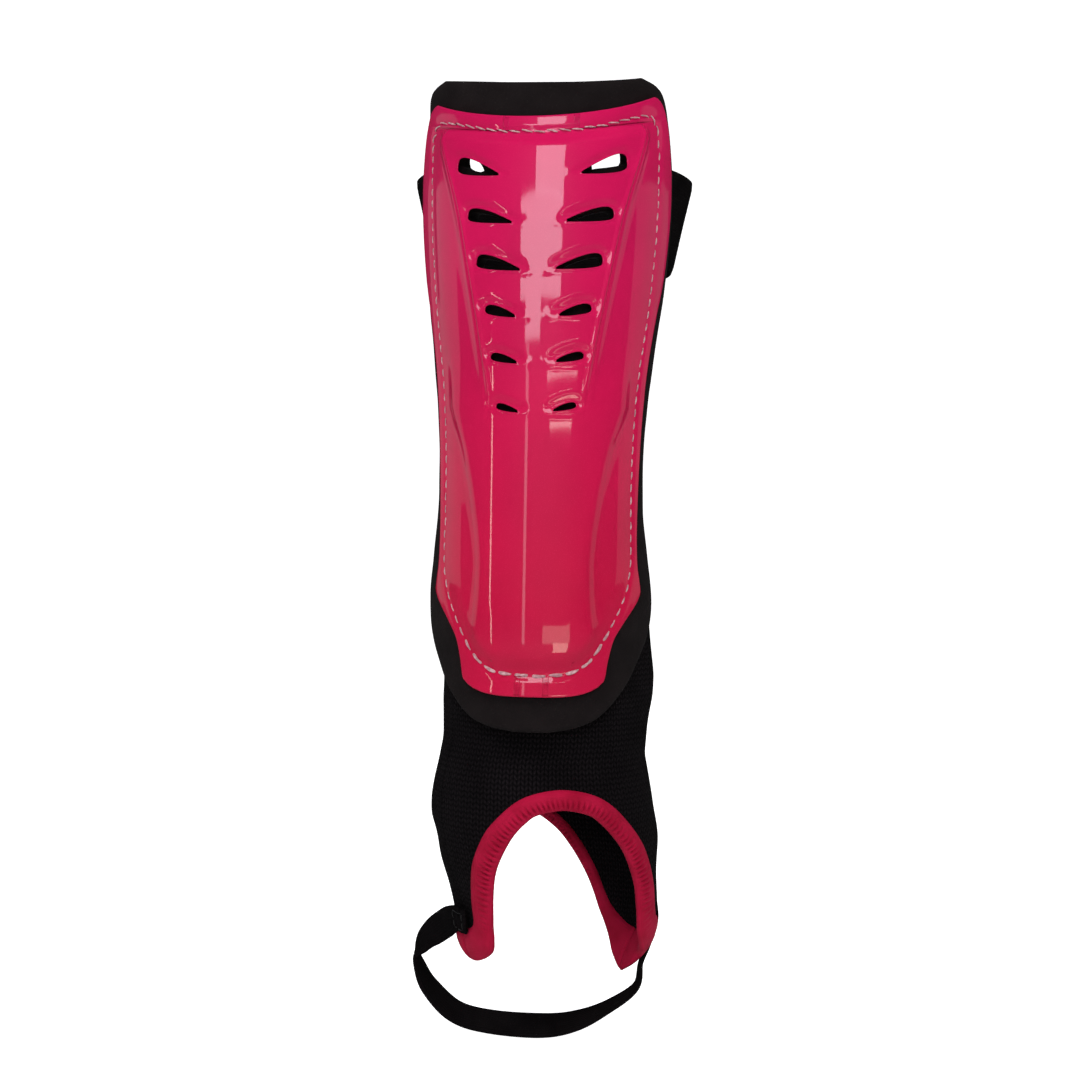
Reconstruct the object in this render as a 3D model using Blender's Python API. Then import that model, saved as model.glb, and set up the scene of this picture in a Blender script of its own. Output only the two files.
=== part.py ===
"""Shin guard: moulded shell on a foam pad, calf strap, ankle sock with bound arches, stirrup strap.

Metres, +Z up. The guard stands as it is worn: the shell faces -Y and the leg is at +Y. The origin
is on the pad's inner face, on its middle line and at the height of the pad's middle.
"""
import math

import bpy
import bmesh
import numpy as np

# Shell: a moulded sheet on the pad. Widths are measured along the pad's outer face.
SHELL_HEIGHT = 0.2096
SHELL_BOTTOM = -0.1036
SHELL_HALF_WIDTH = 0.0538
SHELL_THICKNESS = 0.0023
SHELL_TOP_SCOOP = 0.0096
SHELL_TOP_SKEW = 0.0013
SHELL_SCOOP_START = 0.60
SHELL_BOTTOM_BELLY = 0.0035
SHELL_BELLY_START = 0.65
SHELL_EDGE_ROUND = 0.0006
FLANGE_WIDTH = 0.0050
FLANGE_TOP = 0.0085
FLANGE_BOTTOM = 0.0075
SHELL_ROWS = 29
BODY_RISE = 0.0007
PANEL_RISE = 0.0012
STEP_WIDTH = 0.0016
PANEL_MARGIN = 0.0072
BODY_MARGIN = 0.0032
PANEL_STEPS = 5

# Pad: a bent sheet of foam that shows all round the shell.
PAD_SIDE_MARGIN = 0.0062
PAD_TOP_MARGIN = 0.0090
PAD_BOTTOM_MARGIN = 0.0166
PAD_THICKNESS = 0.0060
PAD_EDGE_ROUND = 0.0014
PAD_TOP_SCOOP = 0.0063
PAD_SCOOP_START = 0.75
PAD_ROWS = 28
PAD_COLUMNS = 15
TOP_FLARE = 0.0015
BOTTOM_FLARE = 0.0030
FLARE_REACH = 0.0300
LEG_RADIUS = 0.0440
PAD_HALF_WIDTH = SHELL_HALF_WIDTH + PAD_SIDE_MARGIN
PAD_HEIGHT = SHELL_HEIGHT + PAD_TOP_MARGIN + PAD_BOTTOM_MARGIN
PAD_BOTTOM = SHELL_BOTTOM - PAD_BOTTOM_MARGIN

# Vents, as lengths along the shell.
VENT_LENGTH = 0.0162
VENT_DEPTH = 0.0066
VENT_SIDES = 10
VENT_SPLAY = 0.45
VENT_POINT = 0.55
VENT_ABOVE = 0.80
VENT_BELOW = 0.36
CUTTER_REACH = 0.0100

# Calf strap.
STRAP_WIDTH = 0.0345
STRAP_MIDDLE = 0.0700
STRAP_THICKNESS = 0.0014
STRAP_OVERLAP = 0.0220
STRAP_INSIDE_EDGE = 0.0015
STRAP_STEPS = 57
STRAP_LOOP_HALF_WIDTH = 0.0528
STRAP_LOOP_TAPER = 0.0075
STRAP_LOOP_DEPTH = 0.0980
HOOK_TAB_LENGTH = 0.0300
HOOK_TAB_MARGIN = 0.0020
HOOK_TAB_THICKNESS = 0.0012
HOOK_TAB_STEPS = 13

# Sock.
SOCK_TOP = -0.0700
SOCK_HEIGHT = 0.1460
SOCK_HALF_WIDTH = 0.0425
SOCK_DEPTH = 0.0420
SOCK_MIDDLE_Y = 0.0380
SOCK_THICKNESS = 0.0020
SOCK_LEAN = 0.0066
SWELL_START = 65.0
SWELL_TURN = 28.0
SOCK_LEVELS = 9

# Bound arches, and the two tabs between them.
INSTEP_APEX = -0.1482
INSTEP_DROP = 0.0500
INSTEP_CENTRE = 15.0
HEEL_APEX = -0.1550
HEEL_DROP = 0.0500
HEEL_CENTRE = 205.0
LEFT_TAB_ANGLE = -58.0
LEFT_TAB_BOTTOM = -0.2072
RIGHT_TAB_ANGLE = 118.0
RIGHT_TAB_BOTTOM = -0.2160
INSTEP_BINDING_WIDTH = 0.0085
HEEL_BINDING_WIDTH = 0.0062
BINDING_THICKNESS = 0.0040
LEFT_TAB_SEAM = 0.0125
RIGHT_TAB_SEAM = 0.0165
INSTEP_STEPS = 35
HEEL_STEPS = 27

# Stirrup strap.
STIRRUP_WIDTH = 0.0112
STIRRUP_THICKNESS = 0.0015
STIRRUP_HALF_SPAN = 0.0470
STIRRUP_DEPTH = 0.0400
STIRRUP_BOTTOM = -0.2355
STIRRUP_DROP = 0.0420
STIRRUP_SEAT = 0.0006
LEFT_PATCH_HEIGHT = -0.1945
LEFT_PATCH_ANGLE = -51.0
LEFT_PATCH_TURN = 18.0
RIGHT_PATCH_ANGLE = 120.0
RIGHT_PATCH_LENGTH = 0.0200
STIRRUP_STEPS = 50

# Pieces that are sewn together lie this far apart.
CLEARANCE = 0.0003

# Shares of SOCK_HALF_WIDTH that turn a length along an arch, or across a tab, into degrees.
ARCH_GIRTH = 0.93
TAB_GIRTH = 0.70

# Pad outline, bottom to top: height share, half width share.
PAD_OUTLINE = (
    (0.000, 0.130), (0.008, 0.320), (0.026, 0.470), (0.066, 0.640), (0.103, 0.750), (0.140, 0.860),
    (0.168, 0.905), (0.196, 0.910), (0.225, 0.885), (0.262, 0.835), (0.321, 0.778), (0.385, 0.762),
    (0.460, 0.775), (0.560, 0.838), (0.696, 0.950), (0.790, 0.992), (0.854, 0.997), (0.913, 0.963),
    (0.949, 0.915), (0.972, 0.885), (0.989, 0.832), (1.000, 0.710),
)

# Shell outline, bottom to top: height share, half width share.
SHELL_OUTLINE = (
    (0.000, 0.435), (0.010, 0.475), (0.041, 0.498), (0.078, 0.541), (0.108, 0.625), (0.136, 0.722),
    (0.156, 0.765), (0.176, 0.757), (0.208, 0.729), (0.280, 0.719), (0.400, 0.735), (0.488, 0.764),
    (0.558, 0.801), (0.630, 0.864), (0.700, 0.937), (0.782, 0.985), (0.843, 1.000), (0.898, 0.989),
    (0.946, 0.955), (0.974, 0.916), (0.991, 0.875), (1.000, 0.800),
)

# Bend of the pad down its length: height share, inner radius share of LEG_RADIUS.
PAD_BEND = ((0.00, 0.864), (0.21, 0.864), (0.51, 0.886), (0.77, 1.000), (1.00, 1.011))

# Edge of the raised V panel: shell height share, half width share.
V_EDGE = ((0.00, 0.20), (0.38, 0.26), (0.476, 0.300), (0.534, 0.335), (0.620, 0.394),
          (0.702, 0.457), (0.783, 0.522), (0.864, 0.606), (0.950, 0.706), (1.00, 0.740))

# Edge of the raised lower body: shell height share, half width share.
BODY_EDGE = ((0.00, 0.36), (0.090, 0.390), (0.151, 0.362), (0.204, 0.353), (0.261, 0.372),
             (0.328, 0.415), (0.400, 0.480), (0.448, 0.556), (0.495, 0.654), (0.600, 0.76), (1.00, 0.86))

# Rise beside the V panel, and outside the lower body: shell height share, share of PANEL_RISE.
CENTRE_RISE = ((0.00, 1.00), (0.470, 1.00), (0.492, 0.84), (0.515, 0.50), (0.538, 0.16), (0.560, 0.00))
WING_RISE = ((0.060, 1.00), (0.075, 0.84), (0.090, 0.50), (0.105, 0.16), (0.120, 0.00))

# Vents, top to bottom: shell height share of the inner end, inner end, length, rise, depth, through.
# The inner end is a share of SHELL_HALF_WIDTH, the rest of VENT_LENGTH and VENT_DEPTH; a vent that
# goes through has its twin in the pad.
VENT_ROWS = (
    (0.8610, 0.260, 0.98, 0.35, 1.00, True),
    (0.7804, 0.161, 1.03, 0.25, 0.86, True),
    (0.7003, 0.106, 0.97, 0.25, 0.87, True),
    (0.6232, 0.132, 0.65, 0.19, 0.68, False),
    (0.5446, 0.117, 0.57, 0.15, 0.57, False),
    (0.4622, 0.104, 0.47, 0.13, 0.48, False),
)

# Sock sections, top to bottom: height share, half width, front depth, back depth, sideways lean,
# and swell beside the pad on the right.
SOCK_SECTIONS = (
    (0.000, 0.862, 0.888, 0.640, 0.00, 0.050),
    (0.140, 0.868, 0.888, 0.640, 0.00, 0.090),
    (0.215, 0.885, 0.888, 0.630, 0.05, 0.095),
    (0.280, 0.905, 0.889, 0.610, 0.14, 0.055),
    (0.335, 0.903, 0.893, 0.590, 0.24, 0.020),
    (0.385, 0.901, 0.915, 0.570, 0.24, 0.000),
    (0.425, 0.908, 0.945, 0.560, 0.08, 0.000),
    (0.485, 0.950, 0.980, 0.555, 0.08, 0.000),
    (0.535, 0.981, 1.000, 0.550, 0.15, 0.000),
    (0.590, 1.000, 1.000, 0.545, 0.20, 0.000),
    (0.630, 0.986, 1.000, 0.540, 0.36, 0.000),
    (0.685, 0.962, 1.000, 0.530, 0.52, 0.000),
    (0.755, 0.925, 1.000, 0.515, 0.82, 0.000),
    (0.815, 0.899, 0.990, 0.500, 1.00, 0.000),
    (0.875, 0.871, 0.970, 0.480, 0.99, 0.000),
    (0.920, 0.824, 0.945, 0.460, 0.96, 0.000),
    (0.950, 0.780, 0.920, 0.440, 0.90, 0.000),
    (1.000, 0.715, 0.890, 0.420, 0.83, 0.000),
)

# Half arches, apex to tab: span in degrees, drop share, way to the tab as shares of angle and
# height, and the binding's width as shares across and up.
INSTEP_LEFT = (
    (0.0, 0.00, 0.0, 0.0, 0.00, 0.90), (12.3, 0.034, 0.0, 0.0, 0.52, 0.79),
    (18.7, 0.094, 0.0, 0.0, 0.68, 0.68), (26.8, 0.214, 0.0, 0.0, 0.78, 0.61),
    (33.2, 0.334, 0.0, 0.0, 0.84, 0.59), (38.5, 0.456, 0.0, 0.0, 0.98, 0.50),
    (42.5, 0.578, 0.0, 0.0, 1.12, 0.34), (45.5, 0.700, 0.0, 0.0, 1.18, 0.28),
    (48.0, 0.850, 0.0, 0.0, 1.12, 0.46), (50.0, 0.970, 0.0, 0.0, 1.00, 0.74),
    (50.0, 1.000, 0.10, 0.34, 0.90, 0.94), (50.0, 1.000, 0.36, 0.70, 0.62, 1.10),
    (50.0, 1.000, 0.70, 0.92, 0.30, 1.20), (50.0, 1.000, 1.00, 1.00, 0.00, 1.20),
)
INSTEP_RIGHT = (
    (0.0, 0.00, 0.0, 0.0, 0.00, 0.90), (12.5, 0.036, 0.0, 0.0, 0.52, 0.79),
    (19.4, 0.100, 0.0, 0.0, 0.68, 0.68), (27.4, 0.220, 0.0, 0.0, 0.80, 0.61),
    (34.2, 0.346, 0.0, 0.0, 0.94, 0.54), (39.0, 0.472, 0.0, 0.0, 1.12, 0.44),
    (41.8, 0.590, 0.0, 0.0, 1.38, 0.26), (42.6, 0.720, 0.0, 0.0, 1.54, 0.20),
    (43.0, 0.840, 0.02, 0.04, 1.52, 0.40), (43.0, 0.940, 0.10, 0.12, 1.34, 0.76),
    (43.0, 1.000, 0.28, 0.28, 1.02, 1.10), (43.0, 1.000, 0.50, 0.52, 0.66, 1.40),
    (43.0, 1.000, 0.76, 0.80, 0.28, 1.60), (43.0, 1.000, 1.00, 1.00, 0.00, 1.60),
)
HEEL_SIDE = (
    (0.0, 0.00, 0.0, 0.0, 0.00, 0.95), (11.0, 0.040, 0.0, 0.0, 0.30, 0.90),
    (20.6, 0.110, 0.0, 0.0, 0.50, 0.76), (29.4, 0.220, 0.0, 0.0, 0.64, 0.60),
    (35.4, 0.340, 0.0, 0.0, 0.72, 0.48), (39.5, 0.450, 0.0, 0.0, 0.76, 0.38),
    (43.5, 0.570, 0.0, 0.0, 0.78, 0.36), (47.0, 0.690, 0.0, 0.0, 0.78, 0.42),
    (51.0, 0.800, 0.01, 0.01, 0.78, 0.56), (54.0, 0.880, 0.10, 0.10, 0.74, 0.80),
    (56.0, 0.950, 0.25, 0.25, 0.62, 1.06), (56.0, 1.000, 0.48, 0.50, 0.42, 1.30),
    (56.0, 1.000, 0.76, 0.82, 0.18, 1.45), (56.0, 1.000, 1.00, 1.00, 0.00, 1.45),
)

# Binding section, sewn edge to open edge: share of the width, share of the half thickness.
BINDING_SECTION = ((0.00, 0.55), (0.20, 0.94), (0.50, 1.00), (0.80, 0.90), (1.00, 0.35))

# Calf strap behind the leg, left to right: share of the half width, share of the depth.
STRAP_LOOP = (
    (-0.915, 0.420), (-1.022, 0.575), (-1.000, 0.720), (-0.820, 0.865), (-0.500, 0.965),
    (0.000, 1.000), (0.500, 0.975), (0.820, 0.890), (0.965, 0.750), (1.000, 0.590), (0.910, 0.420),
)

# Where the stirrup is sewn on: way along the patch, share of the binding's half thickness below it.
LEFT_PATCH = ((0.00, 0.5), (0.30, 0.6), (0.65, 0.8), (1.00, 0.9))
RIGHT_PATCH = ((-0.75, 1.6), (-0.35, 1.0), (0.10, 0.8), (0.45, 0.6), (0.75, 0.3), (1.00, 0.0))

# Stirrup between the tabs, left to right: span share, depth share, drop share, and the way that
# its outer face looks.
STIRRUP_ROUTE = (
    (-0.783, 0.890, 0.165, -0.60, -0.80, 0.05),
    (-0.921, 0.985, 0.285, -0.85, -0.50, 0.15),
    (-0.998, 1.035, 0.400, -1.00, -0.10, 0.00),
    (-0.964, 1.030, 0.545, -1.00, 0.20, -0.20),
    (-0.868, 0.985, 0.720, -0.80, 0.40, -0.60),
    (-0.660, 0.955, 0.920, -0.45, 0.50, -0.80),
    (-0.375, 0.950, 0.985, -0.15, 0.55, -0.85),
    (0.036, 0.965, 1.000, 0.05, 0.58, -0.82),
    (0.270, 1.010, 0.970, 0.20, 0.42, -0.88),
    (0.470, 1.080, 0.870, 0.45, 0.15, -0.88),
    (0.655, 1.170, 0.690, 0.72, 0.05, -0.65),
)


def smooth_curve(points, count):
    """Points at equal steps along a smooth curve through the given ones."""
    points = np.array(points, float)
    ends = np.vstack([2 * points[0] - points[1], points, 2 * points[-1] - points[-2]])
    fine = []
    for a, b, c, d in zip(ends, ends[1:], ends[2:], ends[3:]):
        for t in np.linspace(0.0, 1.0, 12, endpoint=False):
            fine.append(0.5 * (2 * b + (c - a) * t + (2 * a - 5 * b + 4 * c - d) * t ** 2
                               + (3 * b - a - 3 * c + d) * t ** 3))
    fine.append(points[-1])
    fine = np.array(fine)
    along = np.concatenate([[0.0], np.cumsum(np.linalg.norm(np.diff(fine, axis=0), axis=1))])
    steps = np.linspace(0.0, along[-1], count)
    return np.stack([np.interp(steps, along, column) for column in fine.T], axis=1)


def share_at(table, share, column=1):
    """Value of a table's column at a share of the height."""
    rows = np.array(table, float)
    return float(np.interp(share, rows[:, 0], rows[:, column]))


def ease(value):
    value = min(max(value, 0.0), 1.0)
    return value * value * (3.0 - 2.0 * value)


def inner_radius(z):
    return LEG_RADIUS * share_at(PAD_BEND, (z - PAD_BOTTOM) / PAD_HEIGHT)


def front_line(z):
    """How far the pad's middle line stands forward at a height."""
    top = PAD_BOTTOM + PAD_HEIGHT
    above = max(0.0, (z - (top - FLARE_REACH)) / FLARE_REACH)
    below = max(0.0, (PAD_BOTTOM + FLARE_REACH - z) / FLARE_REACH)
    return -TOP_FLARE * above ** 2 - BOTTOM_FLARE * below ** 2


def pad_point(s, z, lift):
    """Point over the pad's outer face: s along the face from the middle line, lift out from it."""
    radius = inner_radius(z) + PAD_THICKNESS
    angle = s / radius
    reach = radius + lift
    return (reach * math.sin(angle), radius - PAD_THICKNESS - reach * math.cos(angle) + front_line(z), z)


def outline_width(outline, height, bottom, half_width):
    """Half width of an outline as a function of height."""
    curve = smooth_curve([(share * height, width * half_width) for share, width in outline], 400)
    return lambda z: float(np.interp(z - bottom, curve[:, 0], curve[:, 1]))


def outline_heights(outline, height, bottom, half_width, count):
    """Heights of rows at equal steps along an outline."""
    curve = smooth_curve([(share * height, width * half_width) for share, width in outline], count)
    return [bottom + row[0] for row in curve]


def new_material(name, colour, roughness, metallic=0.0):
    material = bpy.data.materials.new(name)
    material.use_nodes = True
    shader = material.node_tree.nodes["Principled BSDF"]
    shader.inputs["Base Color"].default_value = (*colour, 1.0)
    shader.inputs["Roughness"].default_value = roughness
    shader.inputs["Metallic"].default_value = metallic
    return material


def new_object(name, points, faces, material=None):
    """Object from points and faces, with its faces turned outward."""
    mesh = bpy.data.meshes.new(name)
    mesh.from_pydata([tuple(p) for p in points], [], faces)
    work = bmesh.new()
    work.from_mesh(mesh)
    bmesh.ops.remove_doubles(work, verts=work.verts, dist=1e-6)
    bmesh.ops.recalc_face_normals(work, faces=work.faces)
    if work.calc_volume(signed=True) < 0:
        bmesh.ops.reverse_faces(work, faces=work.faces)
    work.to_mesh(mesh)
    work.free()
    mesh.shade_smooth()
    mesh.set_sharp_from_angle(angle=math.radians(40))
    item = bpy.data.objects.new(name, mesh)
    bpy.context.collection.objects.link(item)
    if material:
        mesh.materials.append(material)
    return item


def grid_faces(rows, columns, start=0):
    return [(start + r * columns + c, start + r * columns + c + 1,
             start + (r + 1) * columns + c + 1, start + (r + 1) * columns + c)
            for r in range(rows - 1) for c in range(columns - 1)]


def grid_border(rows, columns, start=0):
    """Indices round a grid's border, in order."""
    bottom = [c for c in range(columns)]
    right = [r * columns + columns - 1 for r in range(1, rows)]
    top = [(rows - 1) * columns + c for c in range(columns - 2, -1, -1)]
    left = [r * columns for r in range(rows - 2, 0, -1)]
    return [start + i for i in bottom + right + top + left]


def sheet_solid(name, outer, inner, rims, material):
    """Closed solid between two grids of points; rims are loops of points between their borders."""
    rows, columns = len(outer), len(outer[0])
    points = [p for row in outer for p in row] + [p for row in inner for p in row]
    faces = grid_faces(rows, columns) + grid_faces(rows, columns, rows * columns)
    loops = [grid_border(rows, columns)]
    for rim in rims:
        loops.append(list(range(len(points), len(points) + len(rim))))
        points += rim
    loops.append(grid_border(rows, columns, rows * columns))
    for a, b in zip(loops, loops[1:]):
        for i in range(len(a)):
            j = (i + 1) % len(a)
            faces.append((a[i], a[j], b[j], b[i]))
    return new_object(name, points, faces, material)


def tube_solid(name, rings, material):
    """Closed solid from a row of closed rings of points, capped at both ends."""
    size = len(rings[0])
    points = [p for ring in rings for p in ring]
    faces = [(i * size + j, i * size + (j + 1) % size, (i + 1) * size + (j + 1) % size, (i + 1) * size + j)
             for i in range(len(rings) - 1) for j in range(size)]
    faces += [tuple(range(size)), tuple(range(len(points) - size, len(points)))]
    return new_object(name, points, faces, material)


def cut(item, cutter):
    cutter.hide_render = True
    cutter.display_type = "WIRE"
    step = item.modifiers.new("cut_" + cutter.name, "BOOLEAN")
    step.operation = "DIFFERENCE"
    step.object = cutter


# Vents

def vent_outline(row, side, deep):
    """Leaf round a vent, pointed inside and blunt outside; it grows outward with the depth below."""
    height, inner, length, rise, depth, _ = row
    length = length * VENT_LENGTH + VENT_SPLAY * deep
    rise *= VENT_LENGTH
    depth *= VENT_DEPTH
    start = (inner * SHELL_HALF_WIDTH, SHELL_BOTTOM + height * SHELL_HEIGHT)
    loop = []
    for i in range(VENT_SIDES):
        turn = 2.0 * math.pi * i / VENT_SIDES
        along = 0.5 - 0.5 * math.cos(turn)
        bulge = math.sin(turn) * (VENT_POINT + (1.0 - VENT_POINT) * along)
        high = (VENT_ABOVE if bulge > 0 else VENT_BELOW) * depth
        loop.append((side * (start[0] + along * length), start[1] + along * rise + bulge * high))
    return loop


def vent_cutter(name, row, side):
    face = SHELL_THICKNESS + BODY_RISE
    rings = [[pad_point(s, z, lift) for s, z in vent_outline(row, side, max(face - lift, 0.0))]
             for lift in (-CUTTER_REACH, face, CUTTER_REACH)]
    return tube_solid(name, rings, None)


# Shell and pad

def build_foam_pad():
    """Bent foam sheet with rounded edges and a scooped top."""
    width = outline_width(PAD_OUTLINE, PAD_HEIGHT, PAD_BOTTOM, PAD_HALF_WIDTH)
    top = PAD_BOTTOM + PAD_HEIGHT
    middle = PAD_BOTTOM + 0.5 * PAD_HEIGHT
    heights = outline_heights(PAD_OUTLINE, PAD_HEIGHT, PAD_BOTTOM, PAD_HALF_WIDTH, PAD_ROWS)
    shares = np.linspace(-1.0, 1.0, PAD_COLUMNS)

    def layer(lift, inset):
        grid = []
        for z in heights:
            half = width(z) - inset
            level = middle + (z - middle) * (1.0 - 2.0 * inset / PAD_HEIGHT)
            scoop = PAD_TOP_SCOOP * ease((z / top - PAD_SCOOP_START) / (1.0 - PAD_SCOOP_START))
            grid.append([pad_point(u * half, level + scoop * (u * u - 1.0), lift) for u in shares])
        return grid

    def rim(lift):
        grid = layer(lift, 0.0)
        flat = [p for row in grid for p in row]
        return [flat[i] for i in grid_border(len(grid), len(shares))]

    outer = layer(0.0, PAD_EDGE_ROUND)
    inner = layer(-PAD_THICKNESS, PAD_EDGE_ROUND)
    rims = [rim(-PAD_EDGE_ROUND), rim(PAD_EDGE_ROUND - PAD_THICKNESS)]
    pad = sheet_solid("foam_pad", outer, inner, rims, new_material("foam", (0.012, 0.011, 0.011), 0.85))
    for number, row in enumerate(VENT_ROWS):
        if row[-1]:
            for side, hand in ((-1, "left"), (1, "right")):
                cut(pad, vent_cutter(f"pad_vent_{number}_{hand}", row, side))
    return pad


def build_shell():
    """Moulded plate: sewing flange, raised body, raised V panel above and raised centre below."""
    width = outline_width(SHELL_OUTLINE, SHELL_HEIGHT, SHELL_BOTTOM, SHELL_HALF_WIDTH)
    top = SHELL_BOTTOM + SHELL_HEIGHT
    half_step = 0.5 * STEP_WIDTH
    flange_lines = (SHELL_BOTTOM + FLANGE_BOTTOM, top - FLANGE_TOP)
    heights = [z for z in outline_heights(SHELL_OUTLINE, SHELL_HEIGHT, SHELL_BOTTOM, SHELL_HALF_WIDTH,
                                          SHELL_ROWS)
               if all(abs(z - line) > STEP_WIDTH for line in flange_lines)]
    heights = sorted(heights + [line + k * half_step for line in flange_lines for k in (-1, 1)])

    def across(z):
        """Half widths of a row's feature lines, middle to edge, with the height of each."""
        share = (z - SHELL_BOTTOM) / SHELL_HEIGHT
        half = width(z)
        flange = half - FLANGE_WIDTH
        v_line = min(share_at(V_EDGE, share) * SHELL_HALF_WIDTH, flange - PANEL_MARGIN)
        body_line = min(max(share_at(BODY_EDGE, share) * SHELL_HALF_WIDTH, v_line + BODY_MARGIN),
                        flange - BODY_MARGIN)
        inside = flange_lines[0] < z < flange_lines[1]
        body = BODY_RISE if inside else 0.0
        panel = PANEL_RISE if inside else 0.0
        between = panel * share_at(CENTRE_RISE, share)
        wing = body + panel * share_at(WING_RISE, share)
        lines = [(k / PANEL_STEPS * (v_line - half_step), body + panel) for k in range(PANEL_STEPS + 1)]
        lines += [(v_line + half_step, body + between), (0.5 * (v_line + body_line), body + between),
                  (body_line - half_step, body + between), (body_line + half_step, wing),
                  (0.5 * (body_line + flange), wing), (flange - half_step, wing),
                  (flange + half_step, 0.0), (half, 0.0)]
        return lines, half

    def layer(lift, inset, relief):
        grid = []
        for z in heights:
            lines, half = across(z)
            lines[-1] = (half - inset, 0.0)
            high = SHELL_TOP_SCOOP * ease((z / top - SHELL_SCOOP_START) / (1.0 - SHELL_SCOOP_START))
            low = SHELL_BOTTOM_BELLY * ease((z / SHELL_BOTTOM - SHELL_BELLY_START) / (1.0 - SHELL_BELLY_START))
            level = z + (inset if z == heights[0] else -inset if z == heights[-1] else 0.0)
            row = []
            for side in (-1, 1):
                part = lines[::-1] if side < 0 else lines[1:]
                for s, rise in part:
                    u = s / half
                    skew = SHELL_TOP_SKEW / SHELL_TOP_SCOOP * side * u
                    bent = level + high * (u ** 2 - 1.0 + skew) + low * (u ** 4 - 1.0)
                    row.append(pad_point(side * s, bent, lift + (rise if relief else 0.0)))
            grid.append(row)
        return grid

    outer = layer(SHELL_THICKNESS, SHELL_EDGE_ROUND, True)
    inner = layer(CLEARANCE, 0.0, False)
    edge = layer(SHELL_THICKNESS - SHELL_EDGE_ROUND, 0.0, False)
    flat = [p for row in edge for p in row]
    rim = [flat[i] for i in grid_border(len(edge), len(edge[0]))]
    shell = sheet_solid("shell", outer, inner, [rim], new_material("pink_shell", (0.67, 0.013, 0.115), 0.22))
    for number, row in enumerate(VENT_ROWS):
        for side, hand in ((-1, "left"), (1, "right")):
            cut(shell, vent_cutter(f"shell_vent_{number}_{hand}", row, side))
    return shell


# Calf strap

def strap_line(z, lift):
    """Plan of the calf strap at one height, left end to right end; lift is out from its middle."""
    width = outline_width(PAD_OUTLINE, PAD_HEIGHT, PAD_BOTTOM, PAD_HALF_WIDTH)(STRAP_MIDDLE)
    sunk = -PAD_THICKNESS - CLEARANCE - 0.5 * STRAP_THICKNESS
    start = np.linspace(width - STRAP_OVERLAP, width - STRAP_INSIDE_EDGE, 4)
    left = [pad_point(-s, z, sunk)[:2] for s in start]
    right = [pad_point(s, z, sunk)[:2] for s in start[::-1]]
    below_top = (STRAP_MIDDLE + 0.5 * STRAP_WIDTH - z) / STRAP_WIDTH
    half = STRAP_LOOP_HALF_WIDTH - STRAP_LOOP_TAPER * below_top
    loop = [(x * half, y * STRAP_LOOP_DEPTH) for x, y in STRAP_LOOP]
    curve = smooth_curve(left + loop + right, STRAP_STEPS)
    ahead = np.gradient(curve, axis=0)
    out = np.stack([-ahead[:, 1], ahead[:, 0]], axis=1)
    out /= np.linalg.norm(out, axis=1)[:, None]
    return curve + lift * out


def band_solid(name, line, heights, lifts, material):
    """Upright band along a plan: line(z, lift) gives its points at a height."""
    rings = []
    low, high = heights
    corners = [(low, lifts[0]), (low, lifts[1]), (high, lifts[1]), (high, lifts[0])]
    lines = [line(z, lift) for z, lift in corners]
    for i in range(len(lines[0])):
        rings.append([(plan[i][0], plan[i][1], z) for plan, (z, _) in zip(lines, corners)])
    return tube_solid(name, rings, material)


def build_calf_strap():
    """Wide elastic from inside one long edge of the pad round the leg to the other."""
    half = 0.5 * STRAP_THICKNESS
    heights = (STRAP_MIDDLE - 0.5 * STRAP_WIDTH, STRAP_MIDDLE + 0.5 * STRAP_WIDTH)
    return band_solid("calf_strap", strap_line, heights, (-half, half),
                      new_material("elastic", (0.010, 0.009, 0.010), 0.9))


def build_hook_tab():
    """Plain hook patch on the outside of the strap, behind the leg."""
    half = 0.5 * STRAP_WIDTH - HOOK_TAB_MARGIN
    low = 0.5 * STRAP_THICKNESS + CLEARANCE

    def line(z, lift):
        plan = strap_line(STRAP_MIDDLE, lift)
        along = np.concatenate([[0.0], np.cumsum(np.linalg.norm(np.diff(plan, axis=0), axis=1))])
        middle = 0.5 * along[-1]
        steps = np.linspace(middle - 0.5 * HOOK_TAB_LENGTH, middle + 0.5 * HOOK_TAB_LENGTH,
                            HOOK_TAB_STEPS)
        return np.stack([np.interp(steps, along, column) for column in plan.T], axis=1)

    return band_solid("hook_tab", line, (STRAP_MIDDLE - half, STRAP_MIDDLE + half),
                      (low, low + HOOK_TAB_THICKNESS), new_material("hook", (0.014, 0.013, 0.014), 0.8))


# Sock and bindings

def sock_point(angle, z, lift):
    """Point over the sock's outer face; angle in degrees from the front, + to the wearer's left."""
    share = (SOCK_TOP - z) / SOCK_HEIGHT
    half, front, back, lean, swell = (share_at(SOCK_SECTIONS, share, column) for column in range(1, 6))
    turn = math.radians(angle)
    beside = ease((angle % 360.0 - SWELL_START) / SWELL_TURN) if angle % 360.0 < 180.0 else 0.0
    across = (half + swell * beside) * SOCK_HALF_WIDTH + lift
    depth = (front if math.cos(turn) > 0 else back) * SOCK_DEPTH + lift
    return (lean * SOCK_LEAN + across * math.sin(turn), SOCK_MIDDLE_Y - depth * math.cos(turn), z)


def sock_out(angle, z):
    """Direction straight out of the sock's face."""
    step = 1e-4
    here = np.array(sock_point(angle, z, 0.0))
    round_way = np.array(sock_point(angle + math.degrees(step / SOCK_HALF_WIDTH), z, 0.0)) - here
    up_way = np.array(sock_point(angle, z + step, 0.0)) - here
    out = np.cross(round_way, up_way)
    return out / np.linalg.norm(out)


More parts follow.
